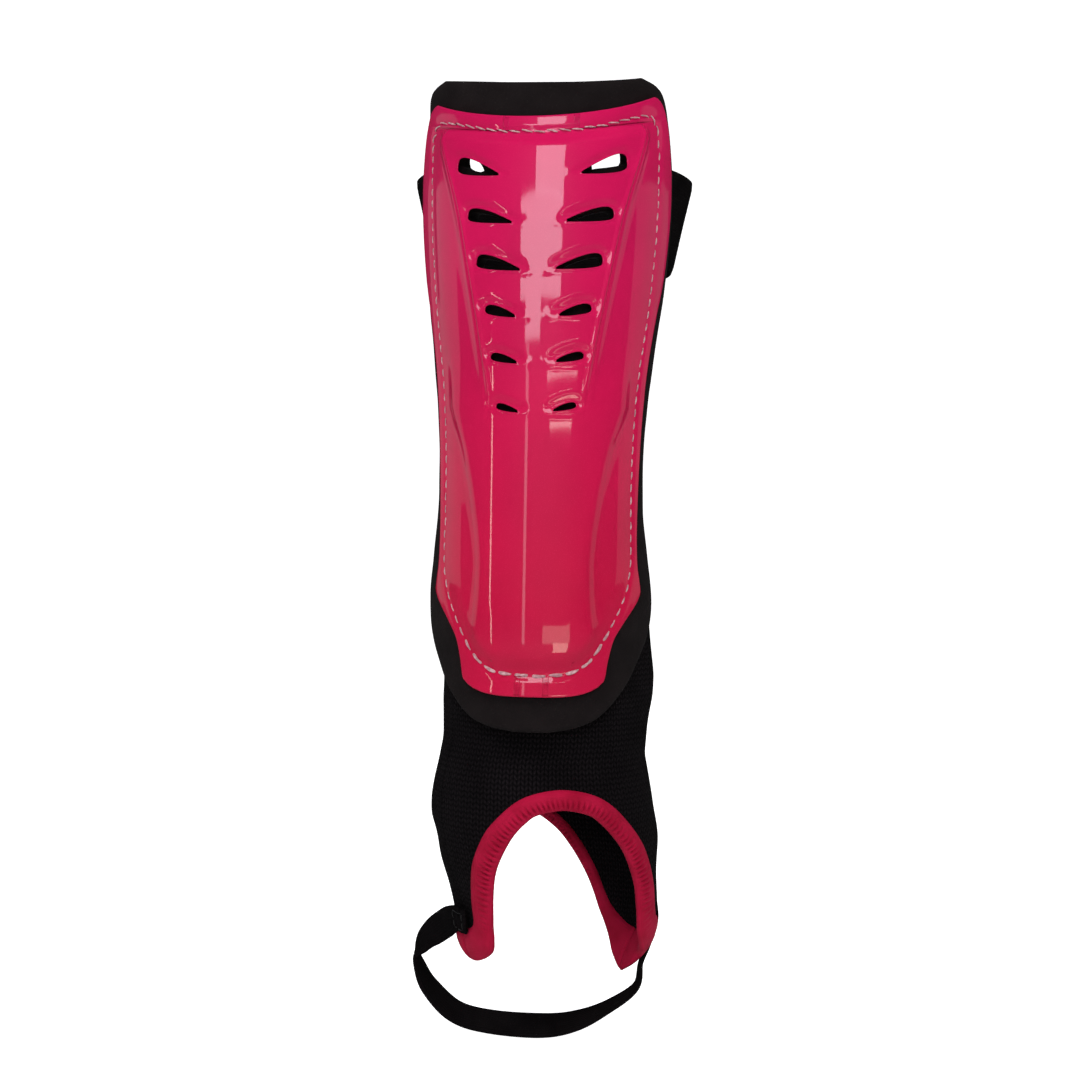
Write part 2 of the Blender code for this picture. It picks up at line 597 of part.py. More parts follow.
def half_arch(rows, centre, side, apex, drop, tab, width, spare):
    """Open edge and sewn edge of one side of an arch, apex to tab, as (angle, z) pairs."""
    tab_angle, tab_bottom, seam = tab
    tab_span = abs(tab_angle - centre)
    open_edge, sewn_edge = [], []
    for span, fall, to_angle, to_height, across, up in rows:
        z = apex - fall * drop
        turn = span + to_angle * (tab_span - span)
        z += to_height * (tab_bottom - z)
        rise = up * width * (1.0 - to_angle) + seam * to_angle
        size = math.hypot(across * width, rise)
        stretch = (size + spare) / size
        degrees = math.degrees(across * width * stretch / (ARCH_GIRTH * SOCK_HALF_WIDTH))
        open_edge.append((centre + side * turn, z))
        sewn_edge.append((centre + side * min(turn + degrees, tab_span), z + rise * stretch))
    return open_edge, sewn_edge


def arch(sides, centre, apex, drop, tabs, width, steps, spare):
    """Both edges of an arch from its first tab over the apex to its second tab."""
    first, second = (half_arch(rows, centre, side, apex, drop, tab, width, spare)
                     for rows, side, tab in zip(sides, (-1, 1), tabs))
    scale = math.radians(SOCK_HALF_WIDTH)
    edges = [[(angle * scale, z) for angle, z in a[::-1] + b[1:]] for a, b in zip(first, second)]
    joined = smooth_curve([(*p, *q) for p, q in zip(*edges)], steps)
    return [(u / scale, z) for u, z in joined[:, :2]], [(u / scale, z) for u, z in joined[:, 2:]]


def instep_arch(spare=0.0):
    """The front arch runs from the left tab to the right tab."""
    tabs = ((LEFT_TAB_ANGLE, LEFT_TAB_BOTTOM, LEFT_TAB_SEAM),
            (RIGHT_TAB_ANGLE, RIGHT_TAB_BOTTOM, RIGHT_TAB_SEAM))
    return arch((INSTEP_LEFT, INSTEP_RIGHT), INSTEP_CENTRE, INSTEP_APEX, INSTEP_DROP, tabs,
                INSTEP_BINDING_WIDTH, INSTEP_STEPS, spare)


def heel_arch(spare=0.0):
    """The rear arch runs from the right tab round the back to the left tab."""
    tabs = ((RIGHT_TAB_ANGLE, RIGHT_TAB_BOTTOM, RIGHT_TAB_SEAM),
            (LEFT_TAB_ANGLE + 360.0, LEFT_TAB_BOTTOM, LEFT_TAB_SEAM))
    return arch((HEEL_SIDE, HEEL_SIDE), HEEL_CENTRE, HEEL_APEX, HEEL_DROP, tabs,
                HEEL_BINDING_WIDTH, HEEL_STEPS, spare)


def build_ankle_sock():
    """Knitted tube, open above and below, cut away over the instep and round the heel."""
    rim = instep_arch(CLEARANCE)[1][:-1] + heel_arch(CLEARANCE)[1][:-1]
    levels = np.linspace(0.0, 1.0, SOCK_LEVELS)
    rings = []
    for lift in (0.0, -SOCK_THICKNESS):
        rings.append([[sock_point(angle, SOCK_TOP + share * (z - SOCK_TOP), lift) for angle, z in rim]
                      for share in levels])
    outer, inner = rings
    loops = outer[::-1] + inner
    size = len(rim)
    points = [p for loop in loops for p in loop]
    count = len(loops)
    faces = [(i * size + j, i * size + (j + 1) % size,
              ((i + 1) % count) * size + (j + 1) % size, ((i + 1) % count) * size + j)
             for i in range(count) for j in range(size)]
    return new_object("ankle_sock", points, faces, new_material("knit", (0.008, 0.007, 0.008), 0.95))


def build_binding(name, edges):
    """Padded binding between an open edge and a sewn edge, blunt where it meets its neighbour."""
    open_edge, sewn_edge = edges
    middle = -0.5 * SOCK_THICKNESS
    half = 0.5 * BINDING_THICKNESS
    section = [(share, half * k) for share, k in BINDING_SECTION]
    section += [(share, -half * k) for share, k in BINDING_SECTION[::-1]]
    rings = []
    for (open_angle, open_z), (sewn_angle, sewn_z) in zip(open_edge, sewn_edge):
        rings.append([sock_point(sewn_angle + share * (open_angle - sewn_angle),
                                 sewn_z + share * (open_z - sewn_z), middle + lift)
                      for share, lift in section])
    return tube_solid(name, rings, new_material(name, (0.42, 0.008, 0.045), 0.75))


def trim_ends(edges, gap):
    """Draw both ends of a binding back from the tab seams by half the clearance."""
    degrees = math.degrees(0.5 * gap / (TAB_GIRTH * SOCK_HALF_WIDTH))
    trimmed = []
    for edge in edges:
        low, high = edge[0][0] + degrees, edge[-1][0] - degrees
        trimmed.append([(min(max(angle, low), high), z) for angle, z in edge])
    return trimmed


# Stirrup

def build_stirrup():
    """Elastic band from the left tab under the foot to the right tab."""
    lift = STIRRUP_SEAT + 0.5 * STIRRUP_THICKNESS
    route, faces = [], []
    for to_rear, over_binding in LEFT_PATCH:
        angle = LEFT_PATCH_ANGLE - to_rear * LEFT_PATCH_TURN
        over = lift + over_binding * 0.5 * BINDING_THICKNESS
        faces.append(sock_out(angle, LEFT_PATCH_HEIGHT))
        route.append(np.array(sock_point(angle, LEFT_PATCH_HEIGHT, 0.0)) + over * faces[-1])
    top = STIRRUP_BOTTOM + STIRRUP_DROP
    for span, depth, fall, *face in STIRRUP_ROUTE:
        route.append((span * STIRRUP_HALF_SPAN, depth * STIRRUP_DEPTH, top - fall * STIRRUP_DROP))
        faces.append(tuple(face))
    for height, over_binding in RIGHT_PATCH:
        z = RIGHT_TAB_BOTTOM + RIGHT_TAB_SEAM + height * RIGHT_PATCH_LENGTH
        over = lift + over_binding * 0.5 * BINDING_THICKNESS
        faces.append(sock_out(RIGHT_PATCH_ANGLE, z))
        route.append(np.array(sock_point(RIGHT_PATCH_ANGLE, z, 0.0)) + over * faces[-1])
    curve = smooth_curve([(*p, *(STIRRUP_DEPTH * v for v in f)) for p, f in zip(route, faces)],
                         STIRRUP_STEPS)
    places, looks = curve[:, :3], curve[:, 3:]
    ahead = np.gradient(places, axis=0)
    ahead /= np.linalg.norm(ahead, axis=1)[:, None]
    out = looks - np.sum(looks * ahead, axis=1)[:, None] * ahead
    out /= np.linalg.norm(out, axis=1)[:, None]
    side = np.cross(ahead, out)
    half_width = 0.5 * STIRRUP_WIDTH
    half = 0.5 * STIRRUP_THICKNESS
    rings = [[place + a * half_width * s + b * half * o for a, b in ((-1, -1), (1, -1), (1, 1), (-1, 1))]
             for place, s, o in zip(places, side, out)]
    return tube_solid("stirrup_strap", rings, new_material("stirrup_elastic", (0.011, 0.010, 0.011), 0.85))


def main():
    for item in list(bpy.data.objects):
        bpy.data.objects.remove(item, do_unlink=True)
    build_foam_pad()
    build_shell()
    build_calf_strap()
    build_hook_tab()
    build_ankle_sock()
    build_binding("instep_binding", trim_ends(instep_arch(), CLEARANCE))
    build_binding("heel_binding", trim_ends(heel_arch(), CLEARANCE))
    build_stirrup()


main()
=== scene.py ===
import math

import bmesh
import bpy
import numpy as np
from mathutils import Matrix, Vector


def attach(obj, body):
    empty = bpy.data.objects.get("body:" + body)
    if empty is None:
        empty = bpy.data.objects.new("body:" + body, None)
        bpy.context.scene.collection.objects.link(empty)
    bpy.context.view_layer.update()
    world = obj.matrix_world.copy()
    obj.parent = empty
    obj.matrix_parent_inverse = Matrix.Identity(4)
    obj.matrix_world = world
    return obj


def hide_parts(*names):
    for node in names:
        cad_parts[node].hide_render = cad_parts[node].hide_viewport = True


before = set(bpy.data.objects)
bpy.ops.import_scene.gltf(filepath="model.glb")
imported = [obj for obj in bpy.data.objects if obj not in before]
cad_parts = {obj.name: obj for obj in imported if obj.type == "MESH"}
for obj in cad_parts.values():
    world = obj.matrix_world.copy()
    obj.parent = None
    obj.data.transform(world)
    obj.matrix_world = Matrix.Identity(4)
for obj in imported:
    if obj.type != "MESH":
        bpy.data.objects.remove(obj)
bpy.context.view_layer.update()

chance = np.random.default_rng(11)
fullTurn = 2.0 * math.pi


# curves and tables

def curveThrough(points, steps=12):
    # smooth line through the points, with its ends carried on straight
    points = np.array(points, float)
    held = np.vstack([2 * points[0] - points[1], points, 2 * points[-1] - points[-2]])
    t = np.linspace(0.0, 1.0, steps, endpoint=False)[:, None]
    parts = [0.5 * (2 * b + (c - a) * t + (2 * a - 5 * b + 4 * c - d) * t ** 2
                    + (3 * b - a - 3 * c + d) * t ** 3)
             for a, b, c, d in zip(held, held[1:], held[2:], held[3:])]
    return np.vstack(parts + [points[-1:]])


def lengthsAlong(line):
    return np.concatenate([[0.0], np.cumsum(np.linalg.norm(np.diff(line, axis=0), axis=1))])


def evenSteps(line, count):
    along = lengthsAlong(line)
    return np.stack([np.interp(np.linspace(0.0, along[-1], count), along, c) for c in line.T], axis=1)


def softTable(table, blur, column=1):
    # a table's straight runs with their corners rounded over a length
    rows = np.array(table, float)
    places = np.linspace(rows[0, 0] - 3 * blur, rows[-1, 0] + 3 * blur, 1200)
    values = np.interp(places, rows[:, 0], rows[:, column])
    step = places[1] - places[0]
    reach = np.arange(-int(3 * blur / step), int(3 * blur / step) + 1) * step
    weight = np.exp(-0.5 * (reach / blur) ** 2)
    padded = np.pad(values, len(reach) // 2, mode="edge")
    values = np.convolve(padded, weight / weight.sum(), mode="valid")
    return lambda x: np.interp(x, places, values)


def unit(vectors):
    return vectors / np.maximum(np.linalg.norm(vectors, axis=-1), 1e-12)[..., None]


def easeIn(value):
    value = np.clip(value, 0.0, 1.0)
    return value * value * (3.0 - 2.0 * value)


# meshes

def gridFaces(rows, columns, closed=False):
    r, c = np.meshgrid(np.arange(rows - 1), np.arange(columns if closed else columns - 1), indexing="ij")
    right = (c + 1) % columns
    here, above = r * columns, (r + 1) * columns
    return np.stack([here + c, here + right, above + right, above + c], -1).reshape(-1, 4).tolist()


def tubeFaces(rings, size):
    # faces of a tube made of closed rings, with a cap on each end
    ends = [list(range(size))[::-1], list(range((rings - 1) * size, rings * size))]
    return gridFaces(rings, size, closed=True) + ends


def newPiece(name, points, faces, uv=None):
    mesh = bpy.data.meshes.new(name)
    mesh.from_pydata([tuple(p) for p in np.asarray(points, float)], [], faces)
    if uv is not None:
        layer = mesh.uv_layers.new(name="lay")
        corners = np.zeros(len(mesh.loops), int)
        mesh.loops.foreach_get("vertex_index", corners)
        layer.data.foreach_set("uv", np.asarray(uv, float)[corners].ravel())
    work = bmesh.new()
    work.from_mesh(mesh)
    bmesh.ops.dissolve_degenerate(work, edges=work.edges, dist=1e-7)
    bmesh.ops.recalc_face_normals(work, faces=work.faces)
    work.to_mesh(mesh)
    work.free()
    mesh.shade_smooth()
    item = bpy.data.objects.new(name, mesh)
    bpy.context.collection.objects.link(item)
    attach(item, "root")
    return item


def dress(item, *materials):
    item.data.materials.clear()
    for material in materials:
        item.data.materials.append(material)


# a panel is a sheet with holes, given flat as (s, z) and bent afterwards

def nearestOn(outline, points):
    # signed distance to a closed outline, below zero inside, with the nearest point on it
    a, b = outline, np.roll(outline, -1, axis=0)
    d = b - a
    rel = points[:, None, :] - a[None]
    share = np.clip((rel * d).sum(-1) / (d * d).sum(-1), 0.0, 1.0)
    spots = a[None] + share[..., None] * d[None]
    gapShaded = np.linalg.norm(points[:, None, :] - spots, axis=-1)
    pick = gapShaded.argmin(1)
    rows = np.arange(len(points))
    y, y0, y1 = points[:, None, 1], a[None, :, 1], b[None, :, 1]
    crosses = (y0 > y) != (y1 > y)
    at = a[None, :, 0] + (y - y0) / np.where(y1 == y0, 1e-12, y1 - y0) * d[None, :, 0]
    inside = (crosses & (points[:, None, 0] < at)).sum(1) % 2 == 1
    return np.where(inside, -gapShaded[rows, pick], gapShaded[rows, pick]), spots[rows, pick]


def cutHoles(flat, outlines):
    # moves grid points on to the outlines and says which faces stay
    rows, columns = flat.shape[:2]
    state = np.ones((rows, columns), int)
    for outline in outlines:
        low, high = outline.min(0) - 0.004, outline.max(0) + 0.004
        near = ((flat > low) & (flat < high)).all(-1)
        index = np.argwhere(near)
        if not len(index):
            continue
        gap = np.full((rows, columns), 1.0)
        spot = flat.copy()
        distance, place = nearestOn(outline, flat[near])
        gap[near], spot[near] = distance, place
        snap = np.zeros((rows, columns), bool)
        for dr, dc in ((0, 1), (1, 0)):
            one = gap[:rows - dr, :columns - dc]
            two = gap[dr:, dc:]
            cross = one * two < 0
            first = np.abs(one) <= np.abs(two)
            snap[:rows - dr, :columns - dc] |= cross & first
            snap[dr:, dc:] |= cross & ~first
        flat[snap] = spot[snap]
        state[snap] = 0
        state[(gap < 0) & ~snap] = -1
    faces = []
    centre = 0.25 * (flat[:-1, :-1] + flat[1:, :-1] + flat[:-1, 1:] + flat[1:, 1:])
    for r in range(rows - 1):
        for c in range(columns - 1):
            ring = [(r, c), (r, c + 1), (r + 1, c + 1), (r + 1, c)]
            kinds = [state[k] for k in ring]
            if min(kinds) > 0:
                faces.append([a * columns + b for a, b in ring])
                continue
            if min(kinds) == 0:
                if max(kinds) == 0 and any(nearestOn(o, centre[r, c][None])[0][0] < 0 for o in outlines):
                    continue
                faces.append([a * columns + b for a, b in ring])
            elif max(kinds) > 0:
                kept = [a * columns + b for (a, b), kind in zip(ring, kinds) if kind >= 0]
                if len(kept) == 3:
                    faces.append(kept)
    return faces


def borderLoops(faces):
    seen = {}
    for face in faces:
        for a, b in zip(face, face[1:] + face[:1]):
            seen[(a, b)] = True
    ahead = {a: b for a, b in seen if (b, a) not in seen}
    loops = []
    while ahead:
        start = next(iter(ahead))
        loop, at = [], start
        while at in ahead:
            loop.append(at)
            at = ahead.pop(at)
        loops.append(loop)
    return loops


def panelPiece(name, flat, faces, outerLift, innerLift, place, outerEdge, holeEdge):
    # closes the sheet with rolled edges; an edge is (way past the border, lift) from face to back
    count = flat.shape[0] * flat.shape[1]
    spread = flat.reshape(-1, 2)
    points = [place(spread[:, 0], spread[:, 1], outerLift.ravel()),
              place(spread[:, 0], spread[:, 1], innerLift.ravel())]
    uv = [spread * 1000.0, spread * 1000.0]
    allFaces = list(faces) + [[i + count for i in reversed(f)] for f in faces]
    total = 2 * count
    loops = sorted(borderLoops(faces), key=len, reverse=True)
    for number, loop in enumerate(loops):
        ring = np.array(loop)
        p = spread[ring]
        along = np.roll(p, -1, 0) - np.roll(p, 1, 0)
        away = unit(np.stack([along[:, 1], -along[:, 0]], -1))
        for _ in range(2):
            away = 0.5 * away + 0.25 * (np.roll(away, 1, 0) + np.roll(away, -1, 0))
        away = unit(away)
        top, low = outerLift.ravel()[ring], innerLift.ravel()[ring]
        previous = ring
        for past, drop, lowShare in (outerEdge if number == 0 else holeEdge):
            moved = p + away * past
            lift = (top + drop) * (1.0 - lowShare) + (low + drop) * lowShare
            points.append(place(moved[:, 0], moved[:, 1], lift))
            uv.append(moved * 1000.0)
            current = np.arange(total, total + len(ring))
            total += len(ring)
            nexts = np.roll(np.arange(len(ring)), -1)
            allFaces += np.stack([previous, previous[nexts], current[nexts], current], -1).tolist()
            previous = current
        nexts = np.roll(np.arange(len(ring)), -1)
        back = ring + count
        allFaces += np.stack([previous, previous[nexts], back[nexts], back], -1).tolist()
    points = np.vstack(points)
    used = np.unique(np.concatenate([np.array(f) for f in allFaces]))
    renumber = np.zeros(len(points), int)
    renumber[used] = np.arange(len(used))
    allFaces = [[int(renumber[i]) for i in f] for f in allFaces]
    return newPiece(name, points[used], allFaces, np.vstack(uv)[used])


# the pad's bent form carries the shell and the pad

padForm = {
    "legRadius": 0.0440, "thickness": 0.0060, "sideMargin": 0.0062, "topMargin": 0.0090,
    "bottomMargin": 0.0166, "topFlare": 0.0015, "bottomFlare": 0.0030, "flareReach": 0.0300,
    "topScoop": 0.0055, "scoopStart": 0.75, "leftCorner": 0.0040, "cornerReach": 0.012,
    "edgeRound": 0.0018, "lump": 0.00010, "sunk": 0.00012, "fill": 0.9, "rows": 150, "columns": 74,
    # height share, half width share
    "outline": (
        (0.000, 0.130), (0.008, 0.320), (0.026, 0.470), (0.066, 0.640), (0.103, 0.750), (0.140, 0.860),
        (0.168, 0.905), (0.196, 0.910), (0.225, 0.885), (0.262, 0.835), (0.321, 0.778), (0.385, 0.762),
        (0.460, 0.775), (0.560, 0.838), (0.696, 0.950), (0.790, 0.992), (0.854, 0.997), (0.913, 0.963),
        (0.949, 0.920), (0.970, 0.896), (0.985, 0.858), (0.994, 0.800), (1.000, 0.690)),
    # height share, radius share
    "bend": ((0.00, 0.864), (0.21, 0.864), (0.51, 0.886), (0.77, 1.000), (1.00, 1.011)), "bendBlur": 0.009,
    # outer edge from face to back: past the border and height in shares of edgeRound, 0 face or 1 back
    "edge": ((0.38, -0.08, 0), (0.71, -0.29, 0), (0.92, -0.62, 0), (1.0, -1.0, 0), (1.0, 1.0, 1),
             (0.71, 0.29, 1), (0.38, 0.08, 1)),
    # the same for its holes, in metres
    "holeEdge": ((0.0003, -0.0002, 0), (0.0005, -0.0007, 0), (0.0005, 0.0007, 1), (0.0003, 0.0002, 1)),
}
shellForm = {
    "height": 0.2096, "bottom": -0.1036, "halfWidth": 0.0538, "thickness": 0.0023, "lay": 0.0003,
    "topScoop": 0.0096, "topSkew": 0.0013, "scoopStart": 0.60, "bottomBelly": 0.0035, "bellyStart": 0.65,
    "panelRise": 0.00156, "crown": 0.0004, "crownReach": 0.05, "edgeRound": 0.00052,
    # height shares where the raised centre below the V and the wings' raised foot fade out, with their reach
    "centreTop": (0.440, 0.150), "wingFoot": (0.050, 0.080),
    # the panel rises from this far inside the stitch line, over this length
    "panelInset": 0.0006, "panelEase": 0.0060,
    # height share, half width share
    "outline": (
        (0.000, 0.435), (0.010, 0.475), (0.041, 0.498), (0.078, 0.541), (0.108, 0.625), (0.138, 0.728),
        (0.150, 0.758), (0.157, 0.770), (0.165, 0.766), (0.180, 0.754), (0.208, 0.729), (0.280, 0.719),
        (0.400, 0.735), (0.488, 0.764), (0.558, 0.801), (0.630, 0.864), (0.700, 0.937), (0.782, 0.985),
        (0.843, 1.000), (0.898, 0.989), (0.946, 0.955), (0.974, 0.916), (0.991, 0.875), (1.000, 0.800)),
    "vEdge": (
        (0.00, 0.20), (0.38, 0.26), (0.476, 0.300), (0.534, 0.335), (0.620, 0.394), (0.702, 0.457),
        (0.783, 0.522), (0.864, 0.606), (0.950, 0.706), (1.00, 0.740)),
    "bodyEdge": (
        (0.00, 0.36), (0.090, 0.390), (0.151, 0.362), (0.204, 0.353), (0.261, 0.372), (0.328, 0.415),
        (0.400, 0.480), (0.448, 0.556), (0.495, 0.654), (0.530, 0.74), (1.00, 1.00)),
    "vBlur": 0.012, "bodyBlur": 0.010,
    # how the step of the V falls outward, and of the lower body: metres past the line, share of the rise
    "vFall": (
        (-0.0040, 1.00), (-0.0026, 1.00), (-0.0020, 0.99), (-0.0012, 1.16), (-0.0005, 1.22), (0.0000, 0.82),
        (0.0004, 0.42), (0.0006, 0.38), (0.0010, 0.58), (0.0018, 0.50), (0.0028, 0.18), (0.0040, 0.00)),
    "bodyFall": (
        (-0.0030, 1.00), (-0.0016, 0.93), (-0.0006, 0.74), (0.0004, 0.46), (0.0012, 0.22), (0.0022, 0.06),
        (0.0032, 0.00)),
    "fallBlur": 0.00012,
    # section across the stitch line: metres outward, height over the flange in metres
    "seam": (
        (-0.0240, 0.00070), (-0.0150, 0.00064), (-0.0105, 0.00053), (-0.0070, 0.00037), (-0.0045, 0.00022),
        (-0.0027, 0.00008), (-0.0013, -0.00008), (0.0000, -0.00022), (0.0008, -0.00014), (0.0015, 0.00002),
        (0.0023, 0.00014), (0.0033, 0.00012), (0.0048, 0.00002), (0.0120, -0.00012)),
    "seamBlur": 0.00030,
    # stitch line, bottom to top: half width and height on the flat plate, in metres
    "stitchLine": (
        (0.0000, -0.0969), (0.0070, -0.0967), (0.0135, -0.0960), (0.0199, -0.0929), (0.0249, -0.0870),
        (0.0326, -0.0740), (0.0352, -0.0660), (0.0360, -0.0580), (0.0355, -0.0310), (0.0370, -0.0020),
        (0.0395, 0.0160), (0.0426, 0.0346), (0.0446, 0.0550), (0.0455, 0.0710), (0.0456, 0.0850),
        (0.0450, 0.0935), (0.0441, 0.0975), (0.0420, 0.1008), (0.0380, 0.1026), (0.0300, 0.1024),
        (0.0200, 0.1014), (0.0100, 0.1007), (0.0000, 0.1005)),
    "stitchSides": (-0.0966, 0.1012),  # the line is read as a side between these heights
    # mesh rows: marks up from the bottom, under and over the vents and down from the top, and the counts
    "rowMarks": (0.0100, -0.0120, 0.0880, 0.0085), "rowCounts": (14, 56, 122, 9, 15),
    # mesh columns: how far marks lie inside and outside the V, body line and seam, and the counts
    "vMarks": (0.0020, 0.0024), "bodyMark": 0.0016, "seamMarks": (0.0024, 0.0016),
    "columnCounts": (35, 15, 10, 6, 5, 8, 5), "vToSeam": 0.0062, "bodyApart": 0.0042, "seamToEdge": 0.0030,
    # outer edge from face to back: past the border and height in metres, 0 face or 1 back
    "edge": ((0.00022, -0.00006, 0), (0.00042, -0.00022, 0), (0.00052, -0.00050, 0), (0.00052, 0.0004, 1),
             (0.00040, 0.00012, 1)),
}
ventForm = {
    "length": 0.0162, "depth": 0.0066, "below": 0.36, "above": 0.80, "rightUp": 0.0006,
    # how far the lip rolls in, the wall's thickness there, and where and over what length it thins
    "lip": 0.00040, "wall": 0.00070, "wallStart": 0.0006, "wallReach": 0.0030,
    # the dished rim: its depth, how far it passes the vent, and the reach of its ledge and slope
    "dish": 0.00080, "dishInner": (0.0026, -0.0004), "dishOuter": (0.0014, 0.0002), "pastV": 0.0004,
    "ledge": 0.0024, "ledgeBelow": 0.0006, "ledgeReach": 0.0018, "slopeReach": 0.0042, "ledgeShare": 0.22,
    "slopeShare": 0.85, "belowShare": 0.10, "bead": 0.00012, "beadReach": 0.0026,
    # the pad's hole behind: inner end moved on, left and right of each row, outer end and the rest
    "padInset": ((0.0080, 0.0036), (0.0, 0.0), (0.0, 0.0)), "padSplay": 0.0030, "padAbove": 0.95,
    "padBelow": 0.55, "padGrow": 0.0003,
    # a leaf's shape: the long ones, and what a short one adds or takes
    "short": 0.0150, "shortReach": 0.0045, "round": 0.58, "shortRound": 0.14, "tip": 0.17, "body": 0.83,
    "shortTip": 0.22, "swell": 0.80,
    # edge of the hole, as for the shell but past the border in shares of the lip
    "edge": ((0.25, 0.00007, 0), (0.50, 0.00008, 0), (0.78, 0.0, 0), (0.97, -0.00018, 0),
             (1.0, -0.00034, 0), (0.6, -0.00052, 0)),
    # top to bottom: height share, inner end, length, rise, depth above, whether it goes through the pad
    "rows": (
        (0.8695, 0.252, 1.02, 0.30, 1.42, True), (0.7752, 0.161, 1.03, 0.20, 0.86, True),
        (0.6955, 0.106, 0.98, 0.20, 0.87, True), (0.6177, 0.132, 0.67, 0.16, 0.60, False),
        (0.5403, 0.117, 0.57, 0.13, 0.50, False), (0.4579, 0.104, 0.47, 0.12, 0.40, False)),
}
padHalf = shellForm["halfWidth"] + padForm["sideMargin"]
padHeight = shellForm["height"] + padForm["topMargin"] + padForm["bottomMargin"]
padBottom = shellForm["bottom"] - padForm["bottomMargin"]
padTop = padBottom + padHeight
shellTop = shellForm["bottom"] + shellForm["height"]
bendRows = [(padBottom + a * padHeight, b * padForm["legRadius"]) for a, b in padForm["bend"]]
bendAt = softTable(bendRows, padForm["bendBlur"])


def onPad(s, z, lift):
    # s runs along the pad's outer face from its middle line
    outer = bendAt(z) + padForm["thickness"]
    reach = padForm["flareReach"]
    above = np.maximum(0.0, (z - padTop + reach) / reach)
    below = np.maximum(0.0, (padBottom + reach - z) / reach)
    front = -padForm["topFlare"] * above ** 2 - padForm["bottomFlare"] * below ** 2
    turn = s / outer
    far = outer + lift
    return np.stack([far * np.sin(turn), bendAt(z) - far * np.cos(turn) + front, z + 0.0 * s], axis=-1)


def widthOf(outline, height, bottom, half):
    fine = curveThrough([(a * height, b * half) for a, b in outline], 24)
    return lambda z: np.interp(z - bottom, np.maximum.accumulate(fine[:, 0]), fine[:, 1])


shellWidth = widthOf(shellForm["outline"], shellForm["height"], shellForm["bottom"], shellForm["halfWidth"])
padWidth = widthOf(padForm["outline"], padHeight, padBottom, padHalf)


def shellBow(s, z):
    # height on the real plate of a point of the flat one
    u = s / shellWidth(z)
    scoop, belly = shellForm["scoopStart"], shellForm["bellyStart"]
    high = shellForm["topScoop"] * easeIn((z / shellTop - scoop) / (1 - scoop))
    low = shellForm["bottomBelly"] * easeIn((z / shellForm["bottom"] - belly) / (1 - belly))
    skew = shellForm["topSkew"] / shellForm["topScoop"]
    return z + high * (u ** 2 - 1.0 + skew * u) + low * (u ** 4 - 1.0)


halfStitch = curveThrough(shellForm["stitchLine"], 10)
stitchLoop = np.vstack([halfStitch, (halfStitch * (-1, 1))[::-1][1:-1]])


def stitchHalf(z):
    low, high = shellForm["stitchSides"]
    side = halfStitch[(halfStitch[:, 1] > low) & (halfStitch[:, 1] < high)]
    side = side[np.argsort(side[:, 1])]
    return np.interp(z, side[:, 1], side[:, 0])


def leaf(inner, outer, above, below, side, grow=0.0, count=48):
    # outline of a vent, pointed inside and blunt outside
    turn = np.linspace(0.0, fullTurn, count, endpoint=False)
    along = 0.5 - 0.5 * np.cos(turn)
    run = np.array(outer) - np.array(inner)
    plump = easeIn((ventForm["short"] - math.hypot(*run)) / ventForm["shortReach"])
    bow = ventForm["round"] + ventForm["shortRound"] * plump
    wave = np.sign(np.sin(turn)) * np.abs(np.sin(turn)) ** bow
    tip = ventForm["shortTip"] * plump
    body = ventForm["tip"] + tip + (ventForm["body"] - tip) * along ** ventForm["swell"]
    s = inner[0] + along * run[0]
    z = inner[1] + along * run[1] + wave * body * np.where(wave > 0, above, below)
    line = np.stack([s, z], -1)
    ahead = np.roll(line, -1, 0) - np.roll(line, 1, 0)
    away = unit(np.stack([ahead[:, 1], -ahead[:, 0]], -1))
    if ((line - line.mean(0)) * away).sum() < 0:
        away = -away
    return (line + away * grow) * (side, 1)


def ventEnds(row, side):
    # inner and outer end of a vent, with its depths above and below the line between them
    height, inner, length, rise, depth, _ = row
    start = np.array((inner * shellForm["halfWidth"], shellForm["bottom"] + height * shellForm["height"]))
    start[1] += 0.5 * (1 + side) * ventForm["rightUp"]
    end = start + np.array((length, rise)) * ventForm["length"]
    deep = depth * ventForm["depth"]
    return start, end, deep * ventForm["above"], deep * ventForm["below"]


vShare = softTable(shellForm["vEdge"], shellForm["vBlur"])
bodyShare = softTable(shellForm["bodyEdge"], shellForm["bodyBlur"])


def shellGrid():
    # rows bunch round the vents and the seam; columns follow the V, the body line and the seam
    top, bottom = shellTop, shellForm["bottom"]
    foot, ventLow, ventHigh, head = shellForm["rowMarks"]
    levels = [bottom, bottom + foot, ventLow, ventHigh, top - head, top]
    rows = np.concatenate([np.linspace(a, b, n, endpoint=b == top)
                           for a, b, n in zip(levels, levels[1:], shellForm["rowCounts"])])
    edge = shellWidth(rows)
    seam = np.minimum(stitchHalf(rows), edge - shellForm["seamToEdge"])
    share = (rows - bottom) / shellForm["height"]
    v = np.minimum(vShare(share) * shellForm["halfWidth"], seam - shellForm["vToSeam"])
    apart, aside = shellForm["bodyApart"], shellForm["bodyMark"]
    body = np.clip(bodyShare(share) * shellForm["halfWidth"], v + apart, seam - apart)
    (vIn, vOut), (seamIn, seamOut) = shellForm["vMarks"], shellForm["seamMarks"]
    marks = [0 * rows, v - vIn, v + vOut, body - aside, body + aside, seam - seamIn, seam + seamOut, edge]
    half = [a + (b - a) * k / n
            for a, b, n in zip(marks, marks[1:], shellForm["columnCounts"]) for k in range(n)]
    half = np.stack(half + [edge], -1)
    s = np.concatenate([-half[:, :0:-1], half], axis=1)
    return np.stack([s, np.repeat(rows[:, None], s.shape[1], 1)], -1), v, body


